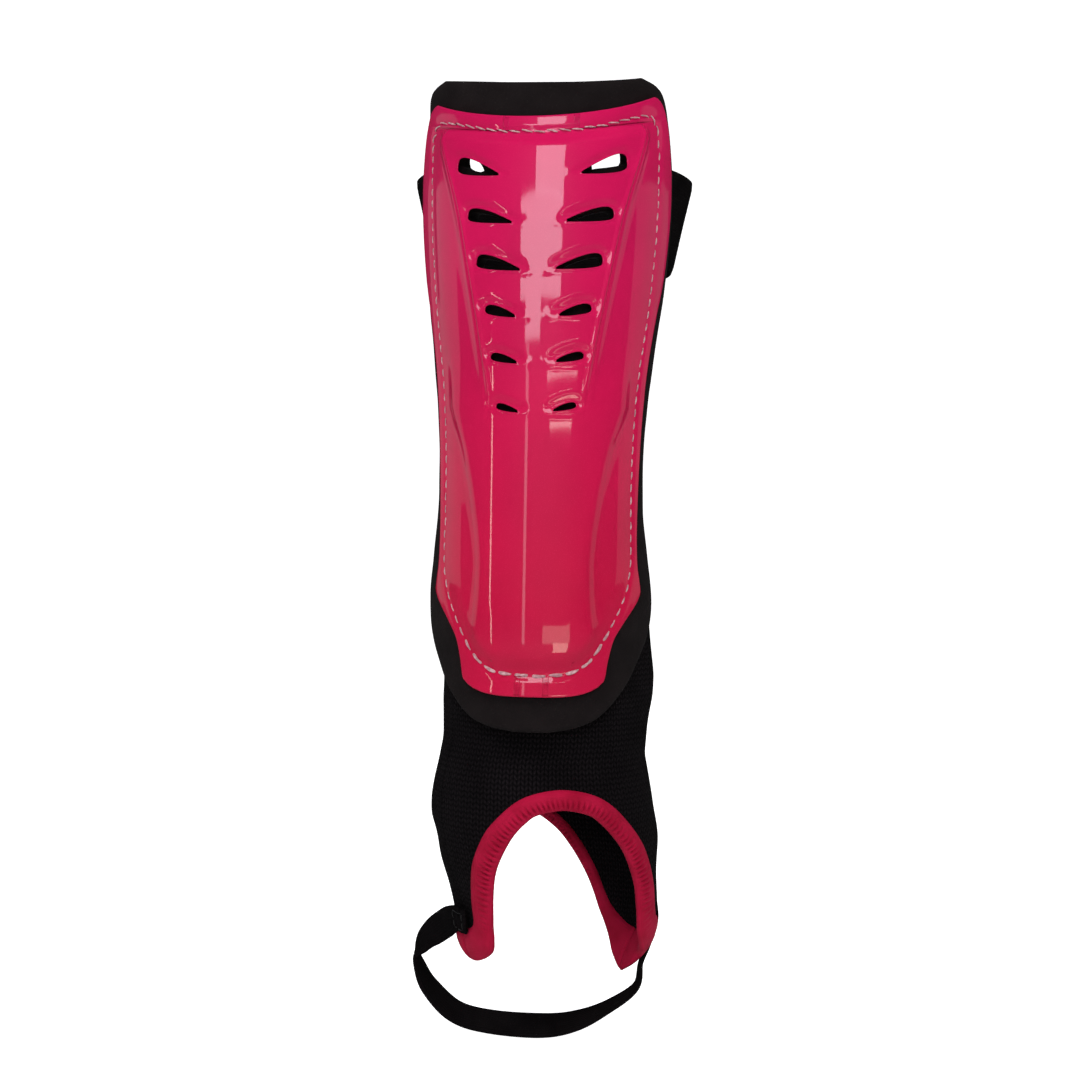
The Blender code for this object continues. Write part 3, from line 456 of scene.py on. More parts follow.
def shellLift(flat, v, body):
    # rise of the plate's face over the pad, before the vents
    s, z = np.abs(flat[..., 0]), flat[..., 1]
    share = (z - shellForm["bottom"]) / shellForm["height"]
    inV = softTable(shellForm["vFall"], shellForm["fallBlur"])(s - v[:, None])
    inBody = softTable(shellForm["bodyFall"], shellForm["fallBlur"])(s - body[:, None])
    centre, wing = (1.0 - easeIn((share - start) / reach)
                    for start, reach in (shellForm["centreTop"], shellForm["wingFoot"]))
    panel = (centre + inV - inV * centre) * inBody + wing * (1.0 - inBody)
    distance = nearestOn(stitchLoop[::2], flat.reshape(-1, 2))[0].reshape(s.shape)
    seam = softTable(shellForm["seam"], shellForm["seamBlur"])(distance)
    inside = easeIn((-distance - shellForm["panelInset"]) / shellForm["panelEase"])
    crown = shellForm["crown"] * (1.0 - (s / shellForm["crownReach"]) ** 2) * inside
    return shellForm["thickness"] + seam + shellForm["panelRise"] * panel * inside + crown


def dishVent(row, side, flat, lift, thin):
    # sinks the face round one vent and thins the wall to it; gives the vent's outline
    start, end, above, below = ventEnds(row, side)
    vHere = float(vShare(row[0])) * shellForm["halfWidth"]
    outward, up = ventForm["dishOuter"]
    inner = start - ventForm["dishInner"]
    outer = (min(end[0] + outward, vHere + ventForm["pastV"]), end[1] + up)
    dish = leaf(inner, outer, above + ventForm["ledge"], below + ventForm["ledgeBelow"], side, 0.0, 40)
    near = ((flat > dish.min(0) - 0.003) & (flat < dish.max(0) + 0.003)).all(-1)
    fromDish = nearestOn(dish, flat[near])[0]
    fromHole = nearestOn(leaf(start, end, above, below, side), flat[near])[0]
    upper = easeIn(0.5 + (flat[near][:, 1] - (start[1] + end[1]) / 2) / (1.6 * above))  # 1 above, 0 below
    ledge = easeIn(0.5 - fromDish / ventForm["ledgeReach"])
    slope = easeIn(1.0 - fromHole / ventForm["slopeReach"])
    bead = easeIn(1.0 - np.abs(fromDish - ventForm["ledgeBelow"]) / ventForm["beadReach"])
    size = min(1.0, 0.55 + 0.45 * row[4])  # the lower, smaller vents are dished less
    depth = ventForm["dish"] * size * (ventForm["belowShare"] + (1.0 - ventForm["belowShare"]) * upper)
    lift[near] -= depth * (ventForm["ledgeShare"] * ledge + ventForm["slopeShare"] * slope)
    lift[near] += ventForm["bead"] * size * (1.0 - upper) * bead
    thinning = easeIn(1.0 - (fromHole - ventForm["wallStart"]) / ventForm["wallReach"])
    thin[near] = np.maximum(thin[near], thinning)
    return leaf(start, end, above, below, side, ventForm["lip"])


def buildShell():
    flat, v, body = shellGrid()
    lift = shellLift(flat, v, body)
    thin = np.zeros(lift.shape)
    outlines = [dishVent(row, side, flat, lift, thin) for row in ventForm["rows"] for side in (-1, 1)]
    faces = cutHoles(flat, outlines)
    inner = shellForm["lay"] * (1.0 - thin) + (lift - ventForm["wall"]) * thin

    def place(s, z, h):
        return onPad(s, shellBow(s, z), h)

    holeEdge = [(past * ventForm["lip"], drop, share) for past, drop, share in ventForm["edge"]]
    flat[..., 0] *= 1.0 - shellForm["edgeRound"] / shellForm["halfWidth"]
    shell = panelPiece("shell_plate", flat, faces, lift, inner, place, shellForm["edge"], holeEdge)
    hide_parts("shell")
    return shell


def buildPad():
    r = padForm["edgeRound"]
    outline = curveThrough([(a * padHeight, b * padHalf) for a, b in padForm["outline"]], 24)
    z = padBottom + evenSteps(outline, padForm["rows"])[:, 0]
    half = padWidth(z) - r
    middle = padBottom + 0.5 * padHeight
    level = middle + (z - middle) * (1.0 - 2.0 * r / padHeight)
    u = np.linspace(-1.0, 1.0, padForm["columns"])
    flat = np.stack([half[:, None] * u, np.repeat(level[:, None], len(u), 1)], -1)
    holes = []
    for number, row in enumerate(ventForm["rows"]):
        if not row[-1]:
            continue
        for side in (-1, 1):
            start, end, above, below = ventEnds(row, side)
            inset = (ventForm["padInset"][number][(side + 1) // 2], 0.0)
            splay = (ventForm["padSplay"], 0.0)
            above, below = above * ventForm["padAbove"], below * ventForm["padBelow"]
            holes.append(leaf(start + inset, end + splay, above, below, side, ventForm["padGrow"]))

    def place(s, z, h):
        u = s / np.maximum(padWidth(z), 0.002)
        corner = easeIn((z - padTop + padForm["cornerReach"]) / padForm["cornerReach"])
        s = s - padForm["leftCorner"] * corner * np.clip(-u, 0, 1) ** 3
        near = (z / padTop - padForm["scoopStart"]) / (1 - padForm["scoopStart"])
        scoop = padForm["topScoop"] * easeIn(near)
        return onPad(s, z + scoop * (np.clip(u, -1, 1) ** 2 - 1.0), h)

    faces = cutHoles(flat, holes)
    s, z = flat[..., 0], flat[..., 1]
    outer = padForm["lump"] * np.sin(s * 260 + 2 * np.sin(z * 90)) * np.sin(z * 210) - padForm["sunk"]
    inner = np.full(s.shape, -padForm["thickness"])
    edge = [(past * r, drop * r, share) for past, drop, share in padForm["edge"]]
    pad = panelPiece("foam_backing", flat, faces, outer, inner, place, edge, padForm["holeEdge"])
    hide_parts("foam_pad")
    return pad


# threads

def tubeAlong(path, radii, sides=6, flat=1.0, ups=None):
    # points and faces of a closed tube; radii run along it
    path = np.asarray(path, float)
    ahead = unit(np.gradient(path, axis=0))
    ups = np.array([[0.0, 0.0, 1.0]]) if ups is None else np.asarray(ups, float)
    out = unit(ups - (ups * ahead).sum(1)[:, None] * ahead)
    side = np.cross(ahead, out)
    turn = np.linspace(0.0, fullTurn, sides, endpoint=False)
    radii = np.asarray(radii, float)[:, None, None]
    rings = path[:, None, :] + radii * (np.cos(turn)[None, :, None] * side[:, None, :]
                                        + flat * np.sin(turn)[None, :, None] * out[:, None, :])
    return rings.reshape(-1, 3), tubeFaces(len(path), sides)


class Bundle:
    # many small meshes that make one piece
    def __init__(self):
        self.points, self.faces, self.finish, self.total = [], [], [], 0

    def add(self, points, faces, finish=0):
        self.points.append(points)
        self.faces += [[i + self.total for i in f] for f in faces]
        self.finish += [finish] * len(faces)
        self.total += len(points)

    def piece(self, name, slot, *materials):
        item = newPiece(name, np.vstack(self.points), self.faces)
        dress(item, *materials)
        if len(item.data.polygons) == len(self.finish):
            item.data.polygons.foreach_set("material_index", self.finish)
        return item


# sizes on the sides, and what the top and the bottom add, take or have instead
shellThread = {
    "sidePitch": 0.0045, "bottomPitch": 0.0057, "topPitch": 0.0043, "share": 0.70, "topShare": 0.24,
    "bottomShare": 0.18, "radius": 0.00029, "topThin": 0.12, "bottomThick": 0.85, "sunk": 0.00022,
    "rise": 0.00030, "proud": 0.45, "topLift": 0.0002, "slant": 0.00016, "topSlant": 0.00069,
    "scatter": 0.0001, "twist": 0.9, "topTwist": 1.3, "plyOff": 0.45, "plySize": 0.80, "plyFlat": 0.72,
    "hole": 0.00050, "bottomHole": 0.00012, "steps": 9,
}


def buildShellThread(material, dentShadeMaterial):
    # one strand a stitch, with a dark disc at each end as painted shade in the needle dent
    form = shellThread
    closed = np.vstack([stitchLoop, stitchLoop[:1]])
    along = lengthsAlong(closed)
    bundle = Bundle()
    at = 0.0
    lie = shellForm["thickness"] - form["sunk"]
    t = np.linspace(0.0, 1.0, form["steps"])
    arc = np.sin(math.pi * t)

    def onPlate(q, lift):
        return onPad(q[:, 0], shellBow(q[:, 0], q[:, 1]), lift)

    while at < along[-1] - 0.002:
        here = np.array([np.interp(at, along, c) for c in closed.T])
        top = easeIn((here[1] - 0.090) / 0.008)
        bottom = easeIn((-here[1] - 0.080) / 0.012)
        pitch = (form["sidePitch"] * (1 - top) * (1 - bottom) + form["topPitch"] * top
                 + form["bottomPitch"] * bottom)
        share = form["share"] + form["topShare"] * top + form["bottomShare"] * bottom
        run = np.linspace(at, at + pitch * share, form["steps"])
        q = np.stack([np.interp(run, along, c) for c in closed.T], -1)
        ahead = unit(np.gradient(q, axis=0))
        away = np.stack([ahead[:, 1], -ahead[:, 0]], -1)
        slant = (form["slant"] + form["topSlant"] * top) * (1.0 + 0.3 * chance.normal())
        q = q + away * (slant * (t - 0.5) + form["scatter"] * chance.normal())[:, None]
        proud = form["proud"] + (1.0 - form["proud"]) * max(top, bottom)
        lift = lie + form["rise"] * proud * (arc ** 0.5 + arc - 1) + form["topLift"] * top
        radius = form["radius"] * (1.0 + form["bottomThick"] * bottom - form["topThin"] * top)
        radius = radius * (0.55 + 0.45 * arc ** 0.6)
        middle = onPlate(q, lift)
        up = onPlate(q, lift + 0.001) - middle
        for phase in (0.0, math.pi):  # two plies, twisted
            twist = t * (form["twist"] + form["topTwist"] * top) * math.pi + phase + 1.3 * at * 1000
            side = unit(np.cross(np.gradient(middle, axis=0), up))
            around = np.cos(twist)[:, None] * side + 0.4 * np.sin(twist)[:, None] * up / 0.001
            ply = middle + form["plyOff"] * radius[:, None] * around
            bundle.add(*tubeAlong(ply, radius * form["plySize"], 6, form["plyFlat"], up), 0)
        # dark discs at the strand's ends: painted shade where the thread dips into its needle dent
        for spot in (q[0], q[-1]):
            ring = np.linspace(0.0, fullTurn, 10, endpoint=False)
            size = form["hole"] + form["bottomHole"] * bottom
            disc = spot + size * np.stack([np.cos(ring), 0.8 * np.sin(ring)], -1)
            rim = onPlate(disc, np.full(10, lie - 0.00002))
            inner = onPlate(spot + 0.55 * (disc - spot), np.full(10, lie - 0.00003))
            faces = gridFaces(2, 10, closed=True) + [list(range(10, 20))]
            bundle.add(np.vstack([rim, inner]), faces, 1)
        at += pitch
    return bundle.piece("shell_stitching", None, material, dentShadeMaterial)


# calf strap: up the inside of the pad's long edges and round the leg

strapForm = {
    "width": 0.0345, "middle": 0.0700, "thickness": 0.0014, "overlap": 0.0220, "insideEdge": 0.0015,
    "halfWidth": 0.0528, "taper": 0.0075, "depth": 0.0980, "lay": 0.0003, "rib": 0.00006, "ribs": 16,
    "steps": 240, "across": 16,
    # half width and depth shares of the free part, from the left round the leg to the right
    "loop": (
        (-0.915, 0.420), (-1.022, 0.575), (-1.000, 0.720), (-0.820, 0.865), (-0.500, 0.965), (0.000, 1.000),
        (0.500, 0.975), (0.820, 0.890), (0.965, 0.750), (1.000, 0.590), (0.910, 0.420)),
}
hookForm = {
    "length": 0.0300, "margin": 0.0020, "corner": 0.0022, "base": 0.00045, "steps": 40,
    "pitch": 0.0014, "first": 0.0012, "last": 0.0010, "cornerHooks": 0.0016, "rise": 0.00075, "lean": 0.00035,
    "radii": (0.00020, 0.00016, 0.00014, 0.00014, 0.00008),
}


def strapPlan(z):
    half = float(padWidth(strapForm["middle"]))
    sunk = -padForm["thickness"] - strapForm["lay"] - 0.5 * strapForm["thickness"]
    start = np.linspace(half - strapForm["overlap"], half - strapForm["insideEdge"], 4)
    left = [onPad(np.array(-s), np.array(z), sunk)[:2] for s in start]
    right = [onPad(np.array(s), np.array(z), sunk)[:2] for s in start[::-1]]
    down = (strapForm["middle"] + 0.5 * strapForm["width"] - z) / strapForm["width"]
    wide = strapForm["halfWidth"] - strapForm["taper"] * down
    loop = [(x * wide, y * strapForm["depth"]) for x, y in strapForm["loop"]]
    return evenSteps(curveThrough(left + loop + right, 14), strapForm["steps"])


def bandPiece(name, rails, outs, thickness, rib, ribs):
    # a band between two or more rails, with rounded edges; rails is (across, along, 3)
    rails = np.asarray(rails, float)
    across, steps = rails.shape[:2]
    share = np.linspace(-1.0, 1.0, across)
    thin = 0.5 * thickness * (1.0 - 0.55 * np.clip((np.abs(share) - 0.86) / 0.14, 0, 1) ** 2)
    ridge = rib * np.cos(share * math.pi * ribs)
    front = rails + outs * (thin + ridge)[:, None, None]
    back = rails - outs * (thin + ridge)[:, None, None]
    loop = np.concatenate([front, back[::-1]], axis=0)
    size = loop.shape[0]
    points = loop.transpose(1, 0, 2).reshape(-1, 3)
    middle = rails[across // 2]
    along = lengthsAlong(middle) * 1000
    wide = np.linalg.norm(rails[-1] - rails[0], axis=1).mean() * 1000
    u = np.concatenate([share, share[::-1]]) * 0.5 * wide
    uv = np.stack([np.repeat(along, size), np.tile(u, steps)], -1)
    return newPiece(name, points, tubeFaces(steps, size), uv)


def buildCalfStrap():
    heights = np.linspace(-0.5, 0.5, strapForm["across"]) * strapForm["width"] + strapForm["middle"]
    plans = np.stack([strapPlan(z) for z in heights])
    ahead = np.gradient(plans, axis=1)
    outs = unit(np.stack([-ahead[..., 1], ahead[..., 0], 0 * ahead[..., 0]], -1))
    rails = np.concatenate([plans, np.repeat(heights[:, None, None], plans.shape[1], 1)], -1)
    strap = bandPiece("calf_elastic", rails, outs, strapForm["thickness"],
                      strapForm["rib"], strapForm["ribs"])
    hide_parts("calf_strap")
    length = round(float(lengthsAlong(rails[strapForm["across"] // 2])[-1]), 3)
    return strap


def buildHookPatch():
    # a plate of small hooks on the strap's outside, behind the leg
    half = 0.5 * strapForm["width"] - hookForm["margin"]
    plan = strapPlan(strapForm["middle"])
    ahead = np.gradient(plan, axis=0)
    out = unit(np.stack([-ahead[:, 1], ahead[:, 0]], -1))
    along = lengthsAlong(plan)
    low = 0.5 * strapForm["thickness"] + strapForm["lay"]

    def spot(run, z, lift):
        x, y = (np.interp(0.5 * along[-1] + run, along, plan[:, k]) for k in (0, 1))
        nx, ny = (np.interp(0.5 * along[-1] + run, along, out[:, k]) for k in (0, 1))
        return np.stack([x + nx * (low + lift), y + ny * (low + lift), z + 0 * x], -1)

    n, corner, halfLength = hookForm["steps"], hookForm["corner"], 0.5 * hookForm["length"]
    runs = np.linspace(-0.5, 0.5, n) * hookForm["length"]
    r, h = np.meshgrid(runs, np.linspace(-half, half, n), indexing="ij")
    pastEnd = np.abs(r) - (halfLength - corner)
    pastEdge = np.abs(h) - (half - corner)
    over = np.maximum(np.hypot(np.maximum(pastEnd, 0), np.maximum(pastEdge, 0)), 1e-9)
    inCorner = (pastEnd > 0) & (pastEdge > 0)
    pull = np.where(inCorner & (over > corner), corner / over, 1.0)
    r = np.where(inCorner, np.sign(r) * (halfLength - corner + pastEnd * pull), r)
    h = np.where(inCorner, np.sign(h) * (half - corner + pastEdge * pull), h)
    top = spot(r.ravel(), strapForm["middle"] + h.ravel(), hookForm["base"])
    back = spot(r.ravel(), strapForm["middle"] + h.ravel(), 0.0)
    count = n * n
    border = list(range(n)) + [i * n + n - 1 for i in range(1, n)]
    border += list(range(count - 2, count - n - 1, -1)) + [i * n for i in range(n - 2, 0, -1)]
    faces = gridFaces(n, n) + [[i + count for i in f[::-1]] for f in gridFaces(n, n)]
    faces += [[a, b, b + count, a + count] for a, b in zip(border, border[1:] + border[:1])]
    bundle = Bundle()
    bundle.add(np.vstack([top, back]), faces)
    t = np.linspace(0.0, 1.0, len(hookForm["radii"]))
    first, last, pitch = hookForm["first"], hookForm["last"], hookForm["pitch"]
    for run in np.arange(-halfLength + first, halfLength - last, pitch):
        for level in np.arange(-half + first, half - last, pitch):
            beyond = math.hypot(max(abs(run) - halfLength + corner, 0), max(abs(level) - half + corner, 0))
            if beyond > hookForm["cornerHooks"]:
                continue
            path = spot(run + hookForm["lean"] * t ** 2, strapForm["middle"] + level + 0.0 * t,
                        hookForm["base"] + hookForm["rise"] * np.sin(t * 2.0))
            bundle.add(*tubeAlong(path, hookForm["radii"], 5))
    patch = bundle.piece("hook_patch", "hook_fastener", hookMaterial)
    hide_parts("hook_tab")
    return patch


# ankle sock

sockForm = {
    "top": -0.0700, "height": 0.1460, "halfWidth": 0.0425, "depth": 0.0420, "middleY": 0.0380,
    "thickness": 0.0020, "lean": 0.0066, "swellStart": 65.0, "swellTurn": 28.0, "levels": 96, "tuck": 0.0022,
    # soft folds round the waist, over the ankle and beside the tabs: size, height, reach, count round
    # the leg, climb, share left in front and behind
    "folds": ((0.00055, -0.116, 0.012, 5, 130, 0.4), (0.00045, -0.160, 0.022, 3, -210, 1.0),
              (0.00035, -0.190, 0.012, 9, 60, 1.0)),
    # the most they rise, where they fade at the two ends, and how the front above the arch stays smooth
    "foldTop": 0.0006, "foldEnds": (0.08, 0.05), "smoothAbove": -0.124, "smoothFront": (50, 40),
    # height share, half width, front depth, back depth, lean, swell on the right
    "sections": (
        (0.000, 0.862, 0.888, 0.640, 0.00, 0.050), (0.140, 0.868, 0.888, 0.640, 0.00, 0.090),
        (0.215, 0.885, 0.888, 0.630, 0.05, 0.095), (0.280, 0.905, 0.889, 0.610, 0.14, 0.055),
        (0.335, 0.903, 0.893, 0.590, 0.24, 0.020), (0.385, 0.901, 0.915, 0.570, 0.24, 0.000),
        (0.425, 0.908, 0.945, 0.560, 0.08, 0.000), (0.485, 0.950, 0.980, 0.555, 0.08, 0.000),
        (0.535, 0.981, 1.000, 0.550, 0.15, 0.000), (0.590, 1.000, 1.000, 0.545, 0.20, 0.000),
        (0.630, 0.986, 1.000, 0.540, 0.36, 0.000), (0.685, 0.962, 1.000, 0.530, 0.52, 0.000),
        (0.755, 0.925, 1.000, 0.515, 0.82, 0.000), (0.815, 0.899, 0.990, 0.500, 1.00, 0.000),
        (0.875, 0.871, 0.970, 0.480, 0.99, 0.000), (0.920, 0.824, 0.945, 0.460, 0.96, 0.000),
        (0.950, 0.780, 0.920, 0.440, 0.90, 0.000), (1.000, 0.715, 0.890, 0.420, 0.83, 0.000)),
}
archForm = {
    # centre, apex, drop, width of the tape
    "instep": (15.0, -0.1482, 0.0500, 0.0085), "heel": (205.0, -0.1550, 0.0500, 0.0062),
    # angle, bottom, seam
    "leftTab": (-58.0, -0.2072, 0.0125), "rightTab": (118.0, -0.2160, 0.0165),
    "thickness": 0.0040, "girth": 0.93, "tabGirth": 0.70, "lay": 0.0003, "smooth": 0.045,
    # apex to tab: span, drop share, way to the tab as angle and height, width across and up
    "instepLeft": (
        (0.0, 0.00, 0.0, 0.0, 0.00, 0.90), (12.3, 0.034, 0.0, 0.0, 0.52, 0.79),
        (18.7, 0.094, 0.0, 0.0, 0.68, 0.68), (26.8, 0.214, 0.0, 0.0, 0.78, 0.61),
        (33.2, 0.334, 0.0, 0.0, 0.84, 0.59), (38.5, 0.456, 0.0, 0.0, 0.98, 0.50),
        (42.5, 0.578, 0.0, 0.0, 1.12, 0.34), (45.5, 0.700, 0.0, 0.0, 1.18, 0.28),
        (48.0, 0.850, 0.0, 0.0, 1.12, 0.46), (48.2, 0.970, 0.0, 0.0, 1.04, 0.74),
        (47.6, 1.000, 0.10, 0.34, 0.96, 0.94), (49.0, 1.000, 0.36, 0.70, 0.66, 1.10),
        (50.0, 1.000, 0.70, 0.92, 0.30, 1.20), (50.0, 1.000, 1.00, 1.00, 0.00, 1.20)),
    "instepRight": (
        (0.0, 0.00, 0.0, 0.0, 0.00, 0.90), (12.5, 0.036, 0.0, 0.0, 0.52, 0.79),
        (19.4, 0.100, 0.0, 0.0, 0.68, 0.68), (27.4, 0.220, 0.0, 0.0, 0.80, 0.61),
        (34.2, 0.346, 0.0, 0.0, 0.94, 0.54), (39.0, 0.472, 0.0, 0.0, 1.12, 0.44),
        (41.8, 0.590, 0.0, 0.0, 1.38, 0.26), (42.6, 0.720, 0.0, 0.0, 1.54, 0.20),
        (43.0, 0.840, 0.02, 0.04, 1.52, 0.40), (43.0, 0.940, 0.10, 0.12, 1.34, 0.76),
        (43.0, 1.000, 0.28, 0.28, 1.02, 1.10), (43.0, 1.000, 0.50, 0.52, 0.66, 1.40),
        (43.0, 1.000, 0.76, 0.80, 0.28, 1.60), (43.0, 1.000, 1.00, 1.00, 0.00, 1.60)),
    "heelSide": (
        (0.0, 0.00, 0.0, 0.0, 0.00, 0.95), (11.0, 0.040, 0.0, 0.0, 0.30, 0.90),
        (20.6, 0.110, 0.0, 0.0, 0.50, 0.76), (29.4, 0.220, 0.0, 0.0, 0.64, 0.60),
        (35.4, 0.340, 0.0, 0.0, 0.72, 0.48), (39.5, 0.450, 0.0, 0.0, 0.76, 0.38),
        (43.5, 0.570, 0.0, 0.0, 0.78, 0.36), (47.0, 0.690, 0.0, 0.0, 0.78, 0.42),
        (51.0, 0.800, 0.01, 0.01, 0.78, 0.56), (54.0, 0.880, 0.10, 0.10, 0.74, 0.80),
        (56.0, 0.950, 0.25, 0.25, 0.62, 1.06), (56.0, 1.000, 0.48, 0.50, 0.42, 1.30),
        (56.0, 1.000, 0.76, 0.82, 0.18, 1.45), (56.0, 1.000, 1.00, 1.00, 0.00, 1.45)),
}
sockColumns = [softTable(sockForm["sections"], 0.010, k) for k in range(1, 6)]


def onSock(angle, z, lift):
    # angle in degrees from the front, positive to the picture's right
    angle, z = np.asarray(angle, float), np.asarray(z, float)
    share = (sockForm["top"] - z) / sockForm["height"]
    half, front, back, lean, swell = (column(share) for column in sockColumns)
    turn = np.radians(angle)
    wrapped = angle % 360.0
    onRight = easeIn((wrapped - sockForm["swellStart"]) / sockForm["swellTurn"])
    beside = np.where(wrapped < 180.0, onRight, 0.0)
    across = (half + swell * beside) * sockForm["halfWidth"] + lift
    mix = easeIn(0.5 + 2.5 * np.cos(turn))  # 1 in front, 0 behind
    depth = (front * mix + back * (1 - mix)) * sockForm["depth"] + lift
    return np.stack([lean * sockForm["lean"] + across * np.sin(turn),
                     sockForm["middleY"] - depth * np.cos(turn), z + 0.0 * turn], -1)


def halfArch(rows, side, tab, arch, spare):
    # the open and the sewn edge of the tape from the apex down to one tab, as angle and height
    centre, apex, drop, width = arch
    tabAngle, tabBottom, seam = tab
    span, fall, toAngle, toHeight, across, up = np.array(rows).T
    tabSpan = abs(tabAngle - centre)
    z = apex - fall * drop
    turn = span + toAngle * (tabSpan - span)
    z = z + toHeight * (tabBottom - z)
    rise = up * width * (1 - toAngle) + seam * toAngle
    size = np.hypot(across * width, rise)
    stretch = (size + spare) / size
    degrees = np.degrees(across * width * stretch / (archForm["girth"] * sockForm["halfWidth"]))
    opening = np.stack([centre + side * turn, z], -1)
    sewn = np.stack([centre + side * np.minimum(turn + degrees, tabSpan), z + rise * stretch], -1)
    return opening, sewn


def archEdges(which, count, spare=0.0):
    left, right = archForm["leftTab"], archForm["rightTab"]
    if which == "instep":
        tabs, tables = (left, right), ("instepLeft", "instepRight")
    else:
        tabs, tables = (right, (left[0] + 360.0, *left[1:])), ("heelSide", "heelSide")
    first, second = (halfArch(archForm[table], side, tab, archForm[which], spare)
                     for table, side, tab in zip(tables, (-1, 1), tabs))
    scale = np.array((math.radians(sockForm["halfWidth"]), 1.0))
    joined = np.hstack([np.vstack([a[::-1], b[1:]]) * scale for a, b in zip(first, second)])
    line = evenSteps(curveThrough(joined, 14), count)
    opening, sewn = line[:, :2], line[:, 2:]
    reach = max(2, int(archForm["smooth"] * count))  # takes the small corners out of the sewn line
    weight = np.hanning(2 * reach + 1)
    for k in range(2):
        held = np.pad(sewn[:, k], reach, mode="reflect", reflect_type="odd")
        sewn[:, k] = np.convolve(held, weight / weight.sum(), mode="valid")
    return opening / scale, sewn / scale


def buildSock():
    front, rear = (archEdges(which, 150, -sockForm["tuck"])[1][:-1] for which in ("instep", "heel"))
    rim = np.vstack([front, rear])
    levels = np.linspace(0.0, 1.0, sockForm["levels"])
    z = sockForm["top"] + levels[:, None] * (rim[None, :, 1] - sockForm["top"])
    angle = np.repeat(rim[None, :, 0], len(levels), 0)
    turn = np.radians(angle)
    folds = 0.0
    for size, height, reach, count, climb, even in sockForm["folds"]:
        fold = size * np.exp(-((z - height) / reach) ** 2) * np.sin(count * turn + climb * z)
        folds = folds + fold * (even + (1.0 - even) * np.abs(np.sin(turn)))
    (atTop, atRim), (front, reach) = sockForm["foldEnds"], sockForm["smoothFront"]
    keep = easeIn((levels / atTop))[:, None] * easeIn((1.0 - levels) / atRim)[:, None]
    rear = easeIn((np.abs(((angle + 180) % 360) - 180) - front) / reach)
    folds = folds * keep * np.where(z > sockForm["smoothAbove"], rear, 1.0)
    outer = onSock(angle, z, np.minimum(folds, sockForm["foldTop"]))
    inner = onSock(angle, z, folds - sockForm["thickness"])
    top = onSock(angle[:1], z[:1], -0.5 * sockForm["thickness"]) + (0, 0, 0.0006)
    low = onSock(angle[-1:], z[-1:], -0.5 * sockForm["thickness"])
    rings = np.concatenate([outer[::-1], top, inner, low], axis=0)
    count, size = rings.shape[:2]
    faces = gridFaces(count, size, closed=True)
    last = (count - 1) * size
    faces += [[last + j, last + (j + 1) % size, (j + 1) % size, j] for j in range(size)]
    lay = np.stack([turn * sockForm["halfWidth"] * 1000, z * 1000], -1)
    uv = np.concatenate([lay[::-1], lay[:1], lay, lay[-1:]], axis=0).reshape(-1, 2)
    sock = newPiece("ankle_knit", rings.reshape(-1, 3), faces, uv)
    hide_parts("ankle_sock")
    around = np.linspace(0.0, 360.0, 181)
    girths = [lengthsAlong(onSock(around, np.full(181, height), 0.5 * sockForm["thickness"]))[-1]
              for height in np.linspace(archForm["heel"][1], sockForm["top"], 12)]
    return sock


bindingForm = {
    "around": 30, "steps": 760, "puff": 1.25, "dentPitch": 0.0020, "dentDepth": 0.00110, "dentAt": 0.70,
    "dentWide": 0.16, "valley": 0.00042, "valleyAt": 0.46, "valleyWide": 0.07, "fill": 0.8,
    # the dents fade out down to this height, over this length, and are this deep above
    "instepFade": (-0.198, 0.030, 1.0), "heelFade": (-0.200, 0.030, 0.55),
}


def buildBinding(name, which, node, material):
    form = bindingForm
    openEdge, sewnEdge = archEdges(which, form["steps"])
    degrees = math.degrees(0.5 * archForm["lay"] / (archForm["tabGirth"] * sockForm["halfWidth"]))
    for edge in (openEdge, sewnEdge):
        edge[:, 0] = np.clip(edge[:, 0], openEdge[0, 0] + degrees, openEdge[-1, 0] - degrees)
    half = 0.5 * archForm["thickness"]
    turn = np.linspace(0.0, fullTurn, form["around"], endpoint=False)
    share = 0.5 - 0.5 * np.sign(np.cos(turn)) * np.abs(np.cos(turn)) ** 0.85  # 0 sewn, 1 open
    puff = np.sign(np.sin(turn)) * np.abs(np.sin(turn)) ** 0.80 * half * form["puff"] * (1.04 - 0.14 * share)
    middleLine = onSock(*(0.5 * (openEdge + sewnEdge)).T, 0.0)
    along = lengthsAlong(middleLine)
    uneven = 0.25 * np.sin(along * 90) + 0.12 * np.sin(along * 310 + 1)
    phase = along / form["dentPitch"] + uneven
    depth = np.clip(np.cos(fullTurn * phase), -0.2, 1)
    low, reach, most = form[which + "Fade"]
    fade = most * easeIn((middleLine[:, 2] - low) / reach)
    across = np.exp(-((share - form["dentAt"]) / form["dentWide"]) ** 2)
    dents = form["dentDepth"] * (fade * depth)[:, None] * across[None, :]
    seam = np.exp(-((share - form["valleyAt"]) / form["valleyWide"]) ** 2)
    dents = dents + form["valley"] * (0.4 + 0.6 * fade)[:, None] * seam[None, :]
    slow = 0.00012 * np.sin(along * 160)[:, None] + 0.00010 * np.sin(along * 65 + 2)[:, None]
    ends = 0.75 + 0.25 * easeIn(np.minimum(along, along[-1] - along) / 0.0015)[:, None]
    lift = -0.5 * sockForm["thickness"] + (puff[None, :] + (slow - dents) * np.sign(puff)[None, :]) * ends
    angle = sewnEdge[:, :1] + share[None] * (openEdge[:, :1] - sewnEdge[:, :1])
    z = sewnEdge[:, 1:] + share[None] * (openEdge[:, 1:] - sewnEdge[:, 1:])
    rings = onSock(angle, z, lift)
    steps, size = rings.shape[:2]
    lay = np.stack([np.repeat(along[:, None] * 1000, size, 1), np.repeat(share[None] * 8.0, steps, 0)], -1)
    item = newPiece(name, rings.reshape(-1, 3), tubeFaces(steps, size), lay.reshape(-1, 2))
    dress(item, material)
    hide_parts(node)
    return item


# stirrup

